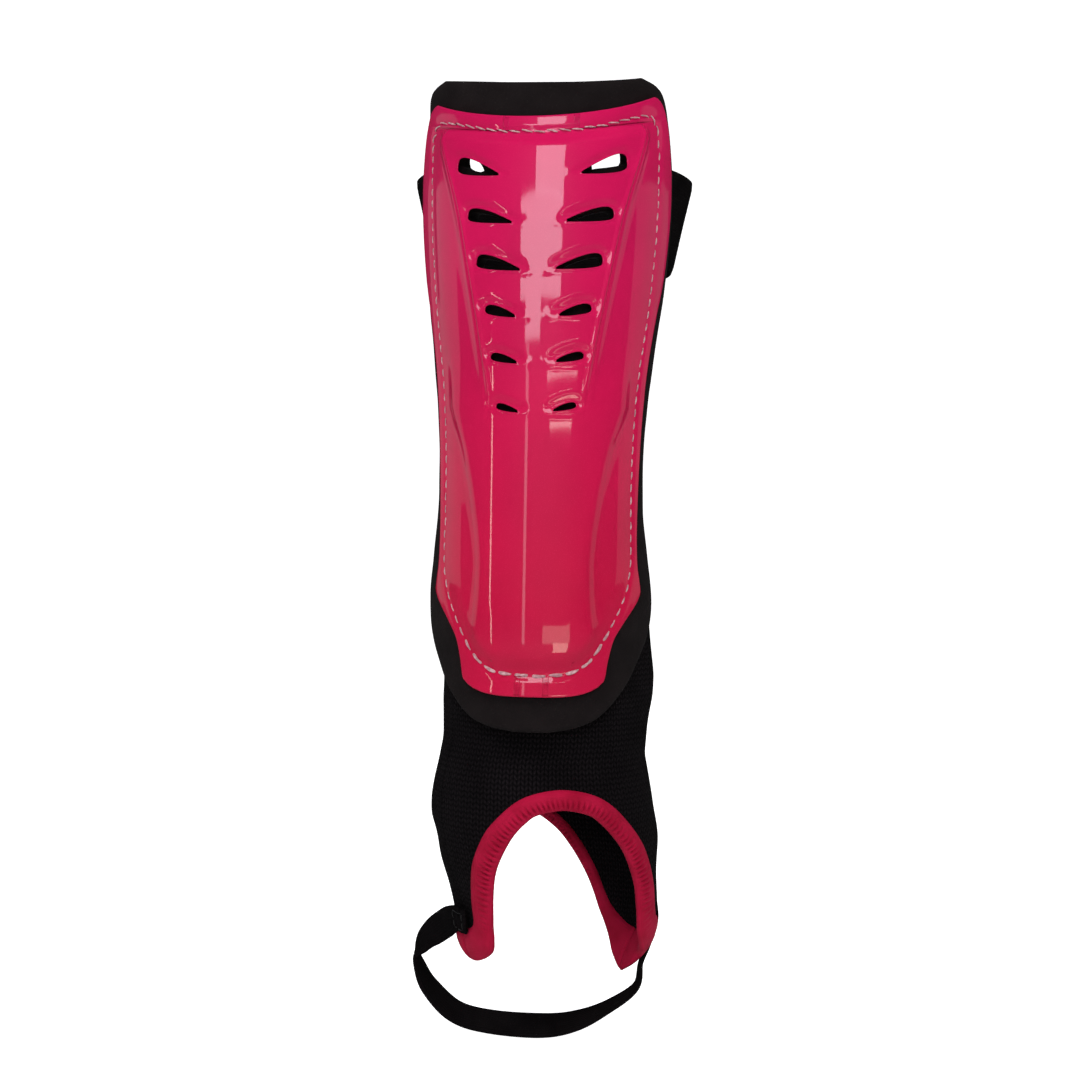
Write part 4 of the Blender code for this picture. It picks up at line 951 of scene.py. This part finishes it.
stirrupForm = {
    "width": 0.0112, "thickness": 0.0015, "halfSpan": 0.0470, "depth": 0.0400, "bottom": -0.2355,
    "drop": 0.0420, "seat": 0.0006, "rib": 0.00005, "ribs": 6, "steps": 220, "across": 12,
    "leftHeight": -0.1914, "leftNarrow": 0.78, "narrowLength": 0.022, "leftAngle": -49.5, "leftTurn": 11.0,
    "rightAngle": 118.0, "rightLength": 0.0160, "edgeOn": (0.99, 0.08, -0.10),
    # way to the rear, height over the sock in half thicknesses of the tape
    "leftPatch": ((0.00, 0.5), (0.45, 0.6), (1.00, 0.8)),
    # way up, height over the sock in the same measure, turn in degrees
    "rightPatch": (
        (-0.75, 0.8, -11.0), (-0.35, 1.0, -8.0), (0.10, 0.9, -3.0), (0.45, 0.6, 3.0), (0.75, 0.3, 6.0),
        (1.00, 0.0, 8.0)),
    # span, depth and drop shares, and the way its outer face looks
    "route": (
        (-0.783, 0.890, 0.140, -0.60, -0.80, 0.05), (-0.921, 0.985, 0.275, -0.85, -0.50, 0.15),
        (-0.998, 1.035, 0.400, -1.00, -0.10, 0.00), (-0.964, 1.030, 0.545, -1.00, 0.20, -0.20),
        (-0.868, 0.985, 0.720, -0.80, 0.40, -0.60), (-0.660, 0.955, 0.920, -0.45, 0.50, -0.80),
        (-0.375, 0.950, 0.998, -0.15, 0.55, -0.85), (0.036, 0.965, 1.018, 0.05, 0.58, -0.82),
        (0.310, 1.010, 0.975, 0.20, 0.42, -0.88), (0.560, 1.040, 0.850, 0.55, 0.20, -0.81),
        (0.790, 1.060, 0.660, 0.88, 0.10, -0.45)),
}


def sockOut(angle, z):
    step = 1e-4
    here = onSock(angle, z, 0.0)
    roundWay = onSock(angle + math.degrees(step / sockForm["halfWidth"]), z, 0.0) - here
    upWay = onSock(angle, z + step, 0.0) - here
    out = np.cross(roundWay, upWay)
    return out / np.linalg.norm(out)


def stirrupLine():
    lift = stirrupForm["seat"] + 0.5 * stirrupForm["thickness"]
    halfBinding = 0.5 * archForm["thickness"]
    places, looks = [], []
    for toRear, over in stirrupForm["leftPatch"]:
        spot = (stirrupForm["leftAngle"] - toRear * stirrupForm["leftTurn"], stirrupForm["leftHeight"])
        looks.append(sockOut(*spot))
        places.append(onSock(*spot, 0.0) + (lift + over * halfBinding) * looks[-1])
    top = stirrupForm["bottom"] + stirrupForm["drop"]
    for span, depth, fall, *face in stirrupForm["route"]:
        across, back = span * stirrupForm["halfSpan"], depth * stirrupForm["depth"]
        places.append(np.array((across, back, top - fall * stirrupForm["drop"])))
        looks.append(np.array(face))
    for height, over, turn in stirrupForm["rightPatch"]:
        z = archForm["rightTab"][1] + archForm["rightTab"][2] + height * stirrupForm["rightLength"]
        spot = (stirrupForm["rightAngle"] + turn, z)
        out = sockOut(*spot)
        places.append(onSock(*spot, 0.0) + (lift + over * halfBinding) * out)
        flat = easeIn((height + 0.35) / 0.80)  # edge on to the front until it lies on the tab
        looks.append(flat * out + (1.0 - flat) * np.array(stirrupForm["edgeOn"]))
    joined = np.hstack([np.array(places), stirrupForm["depth"] * np.array(looks)])
    line = evenSteps(curveThrough(joined, 14), stirrupForm["steps"])
    middle, look = line[:, :3], line[:, 3:]
    ahead = unit(np.gradient(middle, axis=0))
    out = unit(look - (look * ahead).sum(1)[:, None] * ahead)
    return middle, out, np.cross(ahead, out)


def buildStirrup():
    middle, out, side = stirrupLine()
    along = lengthsAlong(middle)
    least = stirrupForm["leftNarrow"]
    narrow = least + (1.0 - least) * easeIn(along / stirrupForm["narrowLength"])
    share = np.linspace(-0.5, 0.5, stirrupForm["across"]) * stirrupForm["width"]
    rails = middle[None] + share[:, None, None] * (narrow[:, None] * side)[None]
    outs = np.repeat(out[None], len(share), 0)
    strap = bandPiece("stirrup_elastic", rails, outs, stirrupForm["thickness"],
                      stirrupForm["rib"], stirrupForm["ribs"])
    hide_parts("stirrup_strap")
    return strap


# box stitching where the stirrup is sewn to each tab: start and finish from its left end, or, with a 1,
# from its right end
strapThread = {
    "boxes": ((0.0012, 0.0070, 0), (0.0140, 0.0012, 1)), "margin": 0.0013, "pitch": 0.0021,
    "radius": 0.00020, "rise": 0.00016, "lie": 0.00012, "flat": 0.8,
}


def buildStrapThread(material):
    form = strapThread
    middle, out, side = stirrupLine()
    along = lengthsAlong(middle)
    bundle = Bundle()
    over = 0.5 * stirrupForm["thickness"] + form["lie"]
    arc = np.sin(np.linspace(0, math.pi, 6))
    for start, finish, right in form["boxes"]:
        if right:
            start, finish = along[-1] - start, along[-1] - finish
        narrow = 1.0 if right else stirrupForm["leftNarrow"]
        w = narrow * 0.5 * stirrupForm["width"] - form["margin"]
        corners = [(start, -w), (finish, -w), (finish, w), (start, w), (start, -w)]
        for (a0, w0), (a1, w1) in zip(corners, corners[1:]):
            count = max(2, int(math.hypot(a1 - a0, w1 - w0) / form["pitch"]))
            for k in range(count):
                t = (k + np.linspace(0.08, 0.86, 6)) / count
                a, b = a0 + (a1 - a0) * t, w0 + (w1 - w0) * t
                here, up, aside = (np.stack([np.interp(a, along, line[:, j]) for j in range(3)], -1)
                                   for line in (middle, out, side))
                path = here + aside * b[:, None] + up * (over + form["rise"] * arc)[:, None]
                bundle.add(*tubeAlong(path, form["radius"] * (0.6 + 0.4 * arc), 6, form["flat"], up))
    return bundle.piece("strap_stitching", None, material)


# finishes

def nodeOf(tree, kind, **settings):
    node = tree.nodes.new(kind)
    for name, value in settings.items():
        if name in node.bl_rna.properties:
            setattr(node, name, value)
        else:
            node.inputs[name].default_value = value
    return node


def shaderGroup(name, inputs, outputs):
    group = bpy.data.node_groups.new(name, "ShaderNodeTree")
    for label, value in inputs.items():
        kind = "NodeSocketVector" if value is None else "NodeSocketFloat"
        socket = group.interface.new_socket(label, in_out="INPUT", socket_type=kind)
        if value is not None:
            socket.default_value = value
    for label in outputs:
        group.interface.new_socket(label, in_out="OUTPUT", socket_type="NodeSocketFloat")
    return group, group.nodes.new("NodeGroupInput"), group.nodes.new("NodeGroupOutput")


def sums(tree, operation, a, b=None, clamp=False):
    node = tree.nodes.new("ShaderNodeMath")
    node.operation = operation
    node.use_clamp = clamp
    for socket, value in zip(node.inputs, (a, b)):
        if value is None:
            continue
        if isinstance(value, (int, float)):
            socket.default_value = value
        else:
            tree.links.new(value, socket)
    return node.outputs[0]


def grainGroup():
    # fine speckle and soft mottling, as a height and a mask
    group, enter, leave = shaderGroup(
        "surfaceGrain", {"Vector": None, "Fine": 2000.0, "Soft": 120.0}, ("Height", "Mottle"))
    fine = nodeOf(group, "ShaderNodeTexNoise", Detail=3.0, Roughness=0.6)
    soft = nodeOf(group, "ShaderNodeTexNoise", Detail=2.0, Roughness=0.5)
    for node, label in ((fine, "Fine"), (soft, "Soft")):
        group.links.new(enter.outputs["Vector"], node.inputs["Vector"])
        group.links.new(enter.outputs[label], node.inputs["Scale"])
    group.links.new(fine.outputs[0], leave.inputs["Height"])
    group.links.new(soft.outputs[0], leave.inputs["Mottle"])
    return group


def giveHeight(group, height, leave):
    # a woven face's height, and the depth of the gaps between its yarns, which the finishes use to paint
    # shade into the gaps
    group.links.new(height, leave.inputs["Height"])
    group.links.new(sums(group, "SUBTRACT", 1.0, height, True), leave.inputs["Gap"])


def knitGroup():
    # plain knit: columns of leaning loops, sizes in millimetres on the lay
    group, enter, leave = shaderGroup(
        "knitLoops", {"Lay": None, "Column": 1.4, "Course": 1.1, "Lean": 0.9}, ("Height", "Gap"))
    split = group.nodes.new("ShaderNodeSeparateXYZ")
    group.links.new(enter.outputs["Lay"], split.inputs[0])
    u = sums(group, "DIVIDE", split.outputs[0], enter.outputs["Column"])
    v = sums(group, "DIVIDE", split.outputs[1], enter.outputs["Course"])
    within = sums(group, "ABSOLUTE", sums(group, "SUBTRACT", sums(group, "FRACT", u), 0.5))
    rise = sums(group, "ADD", v, sums(group, "MULTIPLY", within, enter.outputs["Lean"]))
    loops = sums(group, "SINE", sums(group, "MULTIPLY", rise, fullTurn))
    loops = sums(group, "ADD", sums(group, "MULTIPLY", loops, 0.5), 0.5)
    limb = sums(group, "SINE", sums(group, "MULTIPLY", within, fullTurn))
    limb = sums(group, "POWER", sums(group, "MAXIMUM", limb, 0.0), 0.6)
    loops = sums(group, "ADD", sums(group, "MULTIPLY", loops, 0.7), 0.3)
    giveHeight(group, sums(group, "MULTIPLY", loops, limb), leave)
    return group


def elasticGroup():
    # woven elastic: ribs along the band crossed by fine picks
    group, enter, leave = shaderGroup(
        "wovenElastic", {"Lay": None, "Rib": 1.1, "Pick": 0.55}, ("Height", "Gap"))
    split = group.nodes.new("ShaderNodeSeparateXYZ")
    group.links.new(enter.outputs["Lay"], split.inputs[0])
    pick = sums(group, "DIVIDE", split.outputs[0], enter.outputs["Pick"])
    rib = sums(group, "DIVIDE", split.outputs[1], enter.outputs["Rib"])
    shift = sums(group, "MULTIPLY", sums(group, "FLOOR", rib), 0.5)
    ribs = sums(group, "ABSOLUTE", sums(group, "SINE", sums(group, "MULTIPLY", rib, math.pi)))
    picks = sums(group, "MULTIPLY", sums(group, "ADD", pick, shift), math.pi)
    picks = sums(group, "ABSOLUTE", sums(group, "SINE", picks))
    picks = sums(group, "ADD", sums(group, "MULTIPLY", picks, 0.6), 0.4)
    giveHeight(group, sums(group, "MULTIPLY", sums(group, "POWER", ribs, 0.5), picks), leave)
    return group


groups = {}


def finishOf(name, **base):
    material = bpy.data.materials.new(name)
    material.use_nodes = True
    tree = material.node_tree
    shader = tree.nodes["Principled BSDF"]
    for label, value in base.items():
        shader.inputs[label.replace("_", " ")].default_value = value
    return material, tree, shader


def useGroup(tree, name, **values):
    node = tree.nodes.new("ShaderNodeGroup")
    node.node_tree = groups[name]
    for label, value in values.items():
        node.inputs[label].default_value = value
    return node


def blendColours(tree, share, first, second, clamp=True):
    node = tree.nodes.new("ShaderNodeMix")
    node.data_type = "RGBA"
    node.clamp_factor = clamp
    tree.links.new(share, node.inputs[0])
    for socket, value in ((node.inputs[6], first), (node.inputs[7], second)):
        if isinstance(value, tuple):
            socket.default_value = (*value, 1.0)
        else:
            tree.links.new(value, socket)
    return node.outputs[2]


def rangeOf(tree, value, low, high, toLow, toHigh):
    node = tree.nodes.new("ShaderNodeMapRange")
    tree.links.new(value, node.inputs["Value"])
    for label, number in (("From Min", low), ("From Max", high), ("To Min", toLow), ("To Max", toHigh)):
        node.inputs[label].default_value = number
    return node.outputs[0]


def bumpOf(tree, shader, height, distance, strength=1.0, before=None):
    node = tree.nodes.new("ShaderNodeBump")
    node.inputs["Strength"].default_value = strength
    node.inputs["Distance"].default_value = distance
    tree.links.new(height, node.inputs["Height"])
    if before is not None:
        tree.links.new(before, node.inputs["Normal"])
    tree.links.new(node.outputs[0], shader.inputs["Normal"])
    return node.outputs[0]


def layOf(tree):
    node = tree.nodes.new("ShaderNodeUVMap")
    node.uv_map = "lay"
    return node.outputs[0]


def placeOf(tree):
    return tree.nodes.new("ShaderNodeTexCoord").outputs["Object"]


def grainOf(tree, fine, soft):
    grain = useGroup(tree, "grain", Fine=fine, Soft=soft)
    tree.links.new(placeOf(tree), grain.inputs["Vector"])
    return grain


def weaveOf(tree, name, **sizes):
    weave = useGroup(tree, name, **sizes)
    tree.links.new(layOf(tree), weave.inputs["Lay"])
    return weave


def coloursOver(tree, value, low, high, first, second, most=1.0):
    # from the first colour to the second while the value runs from low to high
    return blendColours(tree, rangeOf(tree, value, low, high, 0.0, most), first, second)


def paint(tree, shader, colour):
    tree.links.new(colour, shader.inputs["Base Color"])


groups["grain"], groups["knit"], groups["elastic"] = grainGroup(), knitGroup(), elasticGroup()

shellFinish = {
    "low": (0.585, 0.0030, 0.050), "high": (0.630, 0.0040, 0.088), "flake": (0.75, 0.03, 0.12),
    "dark": 0.90, "fade": (-0.07, 0.06), "flakeScale": 2400.0, "flakeAt": (0.10, 0.28), "flakeShare": 0.55,
    "waveScale": 55.0, "waveHeight": 0.0003, "waveStrength": 0.30,
}


def plasticMaterial():
    # glossy moulded plastic with a fine pearl flake and a slightly uneven face
    form = shellFinish
    material, tree, shader = finishOf("pinkPlastic", Roughness=0.42, Specular_IOR_Level=0.15, Coat_Weight=1.0,
                                      Coat_Roughness=0.04, Coat_IOR=1.5)
    place = placeOf(tree)
    grain = grainOf(tree, 2600.0, 28.0)
    split = tree.nodes.new("ShaderNodeSeparateXYZ")
    tree.links.new(place, split.inputs[0])
    # the colour turns lighter and pinker upwards, towards the knee
    fade = rangeOf(tree, split.outputs[2], *form["fade"], 0.0, 1.0)
    body = blendColours(tree, fade, form["low"], form["high"])
    deepLow, deepHigh = (tuple(c * form["dark"] for c in form[end]) for end in ("low", "high"))
    deep = blendColours(tree, fade, deepLow, deepHigh)
    body = coloursOver(tree, grain.outputs["Mottle"], 0.35, 0.65, deep, body)
    flake = nodeOf(tree, "ShaderNodeTexVoronoi", Scale=form["flakeScale"])
    tree.links.new(place, flake.inputs["Vector"])
    spark = rangeOf(tree, flake.outputs["Distance"], *form["flakeAt"], form["flakeShare"], 0.0)
    paint(tree, shader, blendColours(tree, spark, body, form["flake"]))
    wave = nodeOf(tree, "ShaderNodeTexNoise", Scale=form["waveScale"], Detail=1.0)
    tree.links.new(place, wave.inputs["Vector"])
    slow = bumpOf(tree, shader, wave.outputs[0], form["waveHeight"], form["waveStrength"])
    bumpOf(tree, shader, grain.outputs["Height"], 0.00002, 0.25, slow)
    return material


def foamMaterial():
    # closed foam faced with a thin brushed knit
    material, tree, shader = finishOf("blackFoam", Roughness=0.86, Specular_IOR_Level=0.12, Sheen_Weight=0.02,
                                      Sheen_Roughness=0.5)
    grain = grainOf(tree, 1500.0, 90.0)
    base = coloursOver(tree, grain.outputs["Mottle"], 0.3, 0.7,
                       (0.0078, 0.0056, 0.0058), (0.0115, 0.0084, 0.0086))
    speck = nodeOf(tree, "ShaderNodeTexVoronoi", Scale=620.0)
    tree.links.new(placeOf(tree), speck.inputs["Vector"])
    light = rangeOf(tree, speck.outputs["Distance"], 0.03, 0.16, 0.5, 0.0)
    paint(tree, shader, blendColours(tree, light, base, (0.030, 0.026, 0.024)))
    bumpOf(tree, shader, grain.outputs["Height"], 0.00022, 0.8)
    return material


def knitMaterial():
    material, tree, shader = finishOf("blackKnit", Roughness=0.92, Specular_IOR_Level=0.06,
                                      Sheen_Weight=0.006, Sheen_Roughness=0.45)
    knit = weaveOf(tree, "knit", Column=3.00, Course=1.90, Lean=1.10)
    fibre = grainOf(tree, 3200.0, 60.0)
    yarn = coloursOver(tree, fibre.outputs["Mottle"], 0.3, 0.7,
                       (0.0066, 0.0048, 0.0058), (0.0104, 0.0078, 0.0092))
    # painted shade: the yarn colour darkens to near black in the gaps between the loops
    gapShaded = coloursOver(tree, knit.outputs["Gap"], 0.25, 0.95, yarn, (0.0008, 0.0007, 0.0008), 0.95)
    paint(tree, shader, gapShaded)
    first = bumpOf(tree, shader, fibre.outputs["Height"], 0.00008, 0.5)
    bumpOf(tree, shader, knit.outputs["Height"], 0.00060, 1.0, first)
    return material


def elasticMaterial():
    material, tree, shader = finishOf("blackElastic", Roughness=0.90, Specular_IOR_Level=0.03,
                                      Sheen_Weight=0.002, Sheen_Roughness=0.4)
    weave = weaveOf(tree, "elastic", Rib=1.05, Pick=0.60)
    fibre = grainOf(tree, 3600.0, 80.0)
    yarn = coloursOver(tree, fibre.outputs["Mottle"], 0.3, 0.7,
                       (0.0044, 0.0035, 0.0039), (0.0072, 0.0059, 0.0064))
    # painted shade: the yarn colour darkens in the gaps between ribs and picks
    gapShaded = coloursOver(tree, weave.outputs["Gap"], 0.3, 1.0, yarn, (0.0018, 0.0016, 0.0018), 0.8)
    paint(tree, shader, gapShaded)
    first = bumpOf(tree, shader, fibre.outputs["Height"], 0.00006, 0.5)
    bumpOf(tree, shader, weave.outputs["Height"], 0.00020, 0.9, first)
    return material


def bindingMaterial():
    # soft brushed tape over padding
    material, tree, shader = finishOf("pinkTape", Roughness=0.78, Specular_IOR_Level=0.10, Sheen_Weight=0.08,
                                      Sheen_Roughness=0.35, Sheen_Tint=(0.9, 0.12, 0.25, 1.0))
    grain = grainOf(tree, 1900.0, 110.0)
    weave = weaveOf(tree, "elastic", Rib=0.42, Pick=0.42)
    base = coloursOver(tree, grain.outputs["Mottle"], 0.3, 0.7,
                       (0.340, 0.0040, 0.028), (0.470, 0.0075, 0.046))
    # painted shade: the tape darkens a little in the gaps of its weave
    gapShaded = coloursOver(tree, weave.outputs["Gap"], 0.3, 1.0, base, (0.200, 0.0040, 0.020), 0.35)
    paint(tree, shader, gapShaded)
    first = bumpOf(tree, shader, grain.outputs["Height"], 0.00010, 0.6)
    bumpOf(tree, shader, weave.outputs["Height"], 0.00008, 0.7, first)
    return material


def threadMaterial(name, low, high):
    material, tree, shader = finishOf(name, Roughness=0.55, Specular_IOR_Level=0.4, Sheen_Weight=0.1)
    grain = grainOf(tree, 5200.0, 700.0)
    paint(tree, shader, coloursOver(tree, grain.outputs["Mottle"], 0.35, 0.65, low, high))
    bumpOf(tree, shader, grain.outputs["Height"], 0.00005, 0.8)
    return material


def needleShadeMaterial():
    # dark red disc colour, painted shade for the needle dents
    material, tree, shader = finishOf("needleDentShade", Roughness=0.5)
    grain = grainOf(tree, 3000.0, 500.0)
    colour = blendColours(tree, grain.outputs["Mottle"], (0.050, 0.0015, 0.006), (0.140, 0.004, 0.016))
    paint(tree, shader, colour)
    return material


def hookPlasticMaterial():
    material, tree, shader = finishOf("blackHook", Roughness=0.42, Specular_IOR_Level=0.5)
    grain = grainOf(tree, 2600.0, 200.0)
    colour = blendColours(tree, grain.outputs["Mottle"], (0.010, 0.009, 0.010), (0.022, 0.020, 0.021))
    paint(tree, shader, colour)
    bumpOf(tree, shader, grain.outputs["Height"], 0.00004, 0.5)
    return material


# the pieces

plastic, foam, tape = plasticMaterial(), foamMaterial(), bindingMaterial()
knit, elastic = knitMaterial(), elasticMaterial()
paleThread = threadMaterial("paleThread", (0.42, 0.19, 0.22), (0.66, 0.40, 0.42))
darkThread = threadMaterial("darkThread", (0.0025, 0.0022, 0.0024), (0.0050, 0.0044, 0.0047))
needleDentShade, hookMaterial = needleShadeMaterial(), hookPlasticMaterial()

dress(buildPad(), foam)
print("foam pad made")
dress(buildShell(), plastic)
print("shell made")
buildShellThread(paleThread, needleDentShade)
print("shell stitching made")
dress(buildCalfStrap(), elastic)
buildHookPatch()
print("calf strap and hook patch made")
dress(buildSock(), knit)
print("sock made")
buildBinding("instep_rim", "instep", "instep_binding", tape)
buildBinding("heel_rim", "heel", "heel_binding", tape)
print("bindings made")
dress(buildStirrup(), elastic)
buildStrapThread(darkThread)
print("stirrup made")


# camera, floor and light

viewForm = {
    "azimuth": 5.0, "roll": 1.0, "distance": 0.600, "aimZ": -0.0523, "shift": 0.0015,
    "focal": 1684.0 / 1080.0,  # in widths of the picture
}


def setCamera():
    a, roll = math.radians(viewForm["azimuth"]), math.radians(viewForm["roll"])
    right = Vector((math.cos(a), math.sin(a), 0.0))
    ahead = Vector((-math.sin(a), math.cos(a), 0.0))
    up = Vector((0.0, 0.0, 1.0))
    place = Vector((0.0, 0.0, viewForm["aimZ"])) - ahead * viewForm["distance"] + right * viewForm["shift"]
    across = right * math.cos(roll) + up * math.sin(roll)
    above = up * math.cos(roll) - right * math.sin(roll)
    data = bpy.data.cameras.new("photoCamera")
    data.sensor_width = 36.0
    data.lens = 36.0 * viewForm["focal"]
    data.clip_start, data.clip_end = 0.01, 50.0
    camera = bpy.data.objects.new("photoCamera", data)
    bpy.context.collection.objects.link(camera)
    turn = Matrix((across, above, -ahead)).transposed()
    camera.matrix_world = Matrix.Translation(place) @ turn.to_4x4()
    bpy.context.scene.camera = camera


stageForm = {
    "floor": -0.2415, "half": 3.0, "front": -3.6, "back": 1.6, "bend": 0.9, "rise": 3.2,
    "glow": 0.86, "room": 0.05,  # the backdrop's own light to the camera, and the room's
}
lightForm = (  # name, place, aim, width, height, watts, tint
    ("windowTop", (0.076, -1.265, 0.480), (0.136, 0.015, 0.140), 0.51, 0.294, 2.34, (0.92, 1.00, 1.10)),
    ("windowMiddle", (-0.0615, -1.312, 0.281), (-0.0015, -0.032, -0.059), 0.78, 0.120, 1.46,
     (0.92, 1.00, 1.10)),
    ("windowLow", (-0.2025, -1.326, 0.200), (-0.1425, -0.046, -0.140), 0.30, 0.047, 0.22, (0.92, 1.00, 1.10)),
    ("overheadLeft", (-0.75, -0.85, 1.25), (0.0, 0.0, -0.05), 0.80, 0.80, 12.6, (1.0, 1.0, 1.0)),
    ("overheadRight", (0.75, -0.85, 1.25), (0.0, 0.0, -0.05), 0.80, 0.80, 12.6, (1.0, 1.0, 1.0)),
    ("overheadRear", (0.0, 1.25, 1.15), (0.0, 0.0, -0.05), 0.90, 0.70, 9.0, (1.0, 1.0, 1.0)),
    ("leftWall", (-1.15, 0.22, 0.08), (0.0, 0.0, 0.00), 0.75, 0.46, 0.52, (1.0, 1.0, 1.0)),
    ("rightWall", (1.15, 0.22, 0.08), (0.0, 0.0, 0.00), 0.75, 0.46, 0.36, (1.0, 1.0, 1.0)),
    ("thinTube", (-0.84, -0.87, -0.085), (0.0, 0.0, -0.05), 0.024, 0.46, 0.29, (1.0, 0.92, 0.80)),
    ("doorSlit", (-0.26, -1.18, -0.070), (0.0, 0.0, -0.05), 0.050, 0.45, 0.16, (0.95, 0.98, 1.05)),
    ("shelfGlow", (0.36, -1.15, 0.125), (0.0, 0.0, 0.0), 0.55, 0.012, 0.11, (1.0, 1.0, 1.0)),
    ("lowGlow", (0.35, -1.15, 0.071), (0.0, 0.0, 0.0), 0.40, 0.009, 0.09, (1.0, 0.95, 0.90)),
    ("sparkGlow", (0.36, -1.15, -0.222), (0.0, 0.0, -0.09), 0.55, 0.105, 0.36, (1.0, 0.90, 0.78)),
    ("sparkCore", (0.17, -0.42, -0.163), (0.008, -0.040, -0.095), 0.117, 0.037, 0.070, (1.0, 0.88, 0.72)),
)


def buildStage():
    # one pale sweep, floor running up into the backdrop behind
    t = np.linspace(0.0, math.pi / 2, 16)
    back, bend = stageForm["back"], stageForm["bend"]
    curve = [(back + bend * math.sin(k), bend * (1 - math.cos(k))) for k in t]
    profile = [(stageForm["front"], 0.0), *curve, (back + bend, stageForm["rise"])]
    half, floor = stageForm["half"], stageForm["floor"]
    points = [(x, y, z + floor) for y, z in profile for x in (-half, half)]
    faces = gridFaces(len(profile), 2)
    mesh = bpy.data.meshes.new("paleSweep")
    mesh.from_pydata(points, [], faces)
    mesh.shade_smooth()
    sweep = bpy.data.objects.new("paleSweep", mesh)
    bpy.context.collection.objects.link(sweep)
    material, tree, shader = finishOf("palePaper", Roughness=0.9, Specular_IOR_Level=0.1)
    grain = grainOf(tree, 40.0, 3.0)
    paper = blendColours(tree, grain.outputs["Mottle"], (0.90, 0.90, 0.90), (0.93, 0.93, 0.93))
    seen = tree.nodes.new("ShaderNodeLightPath")
    # the sweep is dark grey to glossy rays only: painted shade in the reflections on the glossy parts, pale
    # paper to all other rays
    paint(tree, shader, blendColours(tree, seen.outputs["Is Glossy Ray"], paper, (0.10, 0.10, 0.10)))
    shader.inputs["Emission Color"].default_value = (1.0, 1.0, 1.0, 1.0)
    glow = sums(tree, "MULTIPLY", seen.outputs["Is Camera Ray"], stageForm["glow"])
    tree.links.new(glow, shader.inputs["Emission Strength"])
    mesh.materials.append(material)


def addLights():
    for name, place, aim, width, height, watts, tint in lightForm:
        data = bpy.data.lights.new(name, "AREA")
        data.shape = "RECTANGLE"
        data.size, data.size_y, data.energy, data.color = width, height, watts, tint
        lamp = bpy.data.objects.new(name, data)
        bpy.context.collection.objects.link(lamp)
        lamp.location = place
        lamp.visible_glossy = not name.startswith("overhead")  # soft fill, with no image in the gloss
        lamp.rotation_euler = (Vector(aim) - Vector(place)).to_track_quat("-Z", "Y").to_euler()
    world = bpy.data.worlds.new("softRoom")
    bpy.context.scene.world = world
    world.use_nodes = True
    back = world.node_tree.nodes["Background"]
    back.inputs["Color"].default_value = (1.0, 1.0, 1.0, 1.0)
    seen = world.node_tree.nodes.new("ShaderNodeLightPath")
    strength = rangeOf(world.node_tree, seen.outputs["Is Camera Ray"], 0.0, 1.0, stageForm["room"], 1.0)
    world.node_tree.links.new(strength, back.inputs["Strength"])


setCamera()
buildStage()
addLights()
bpy.context.scene.view_settings.view_transform = "Standard"
print("camera, stage and lights set")
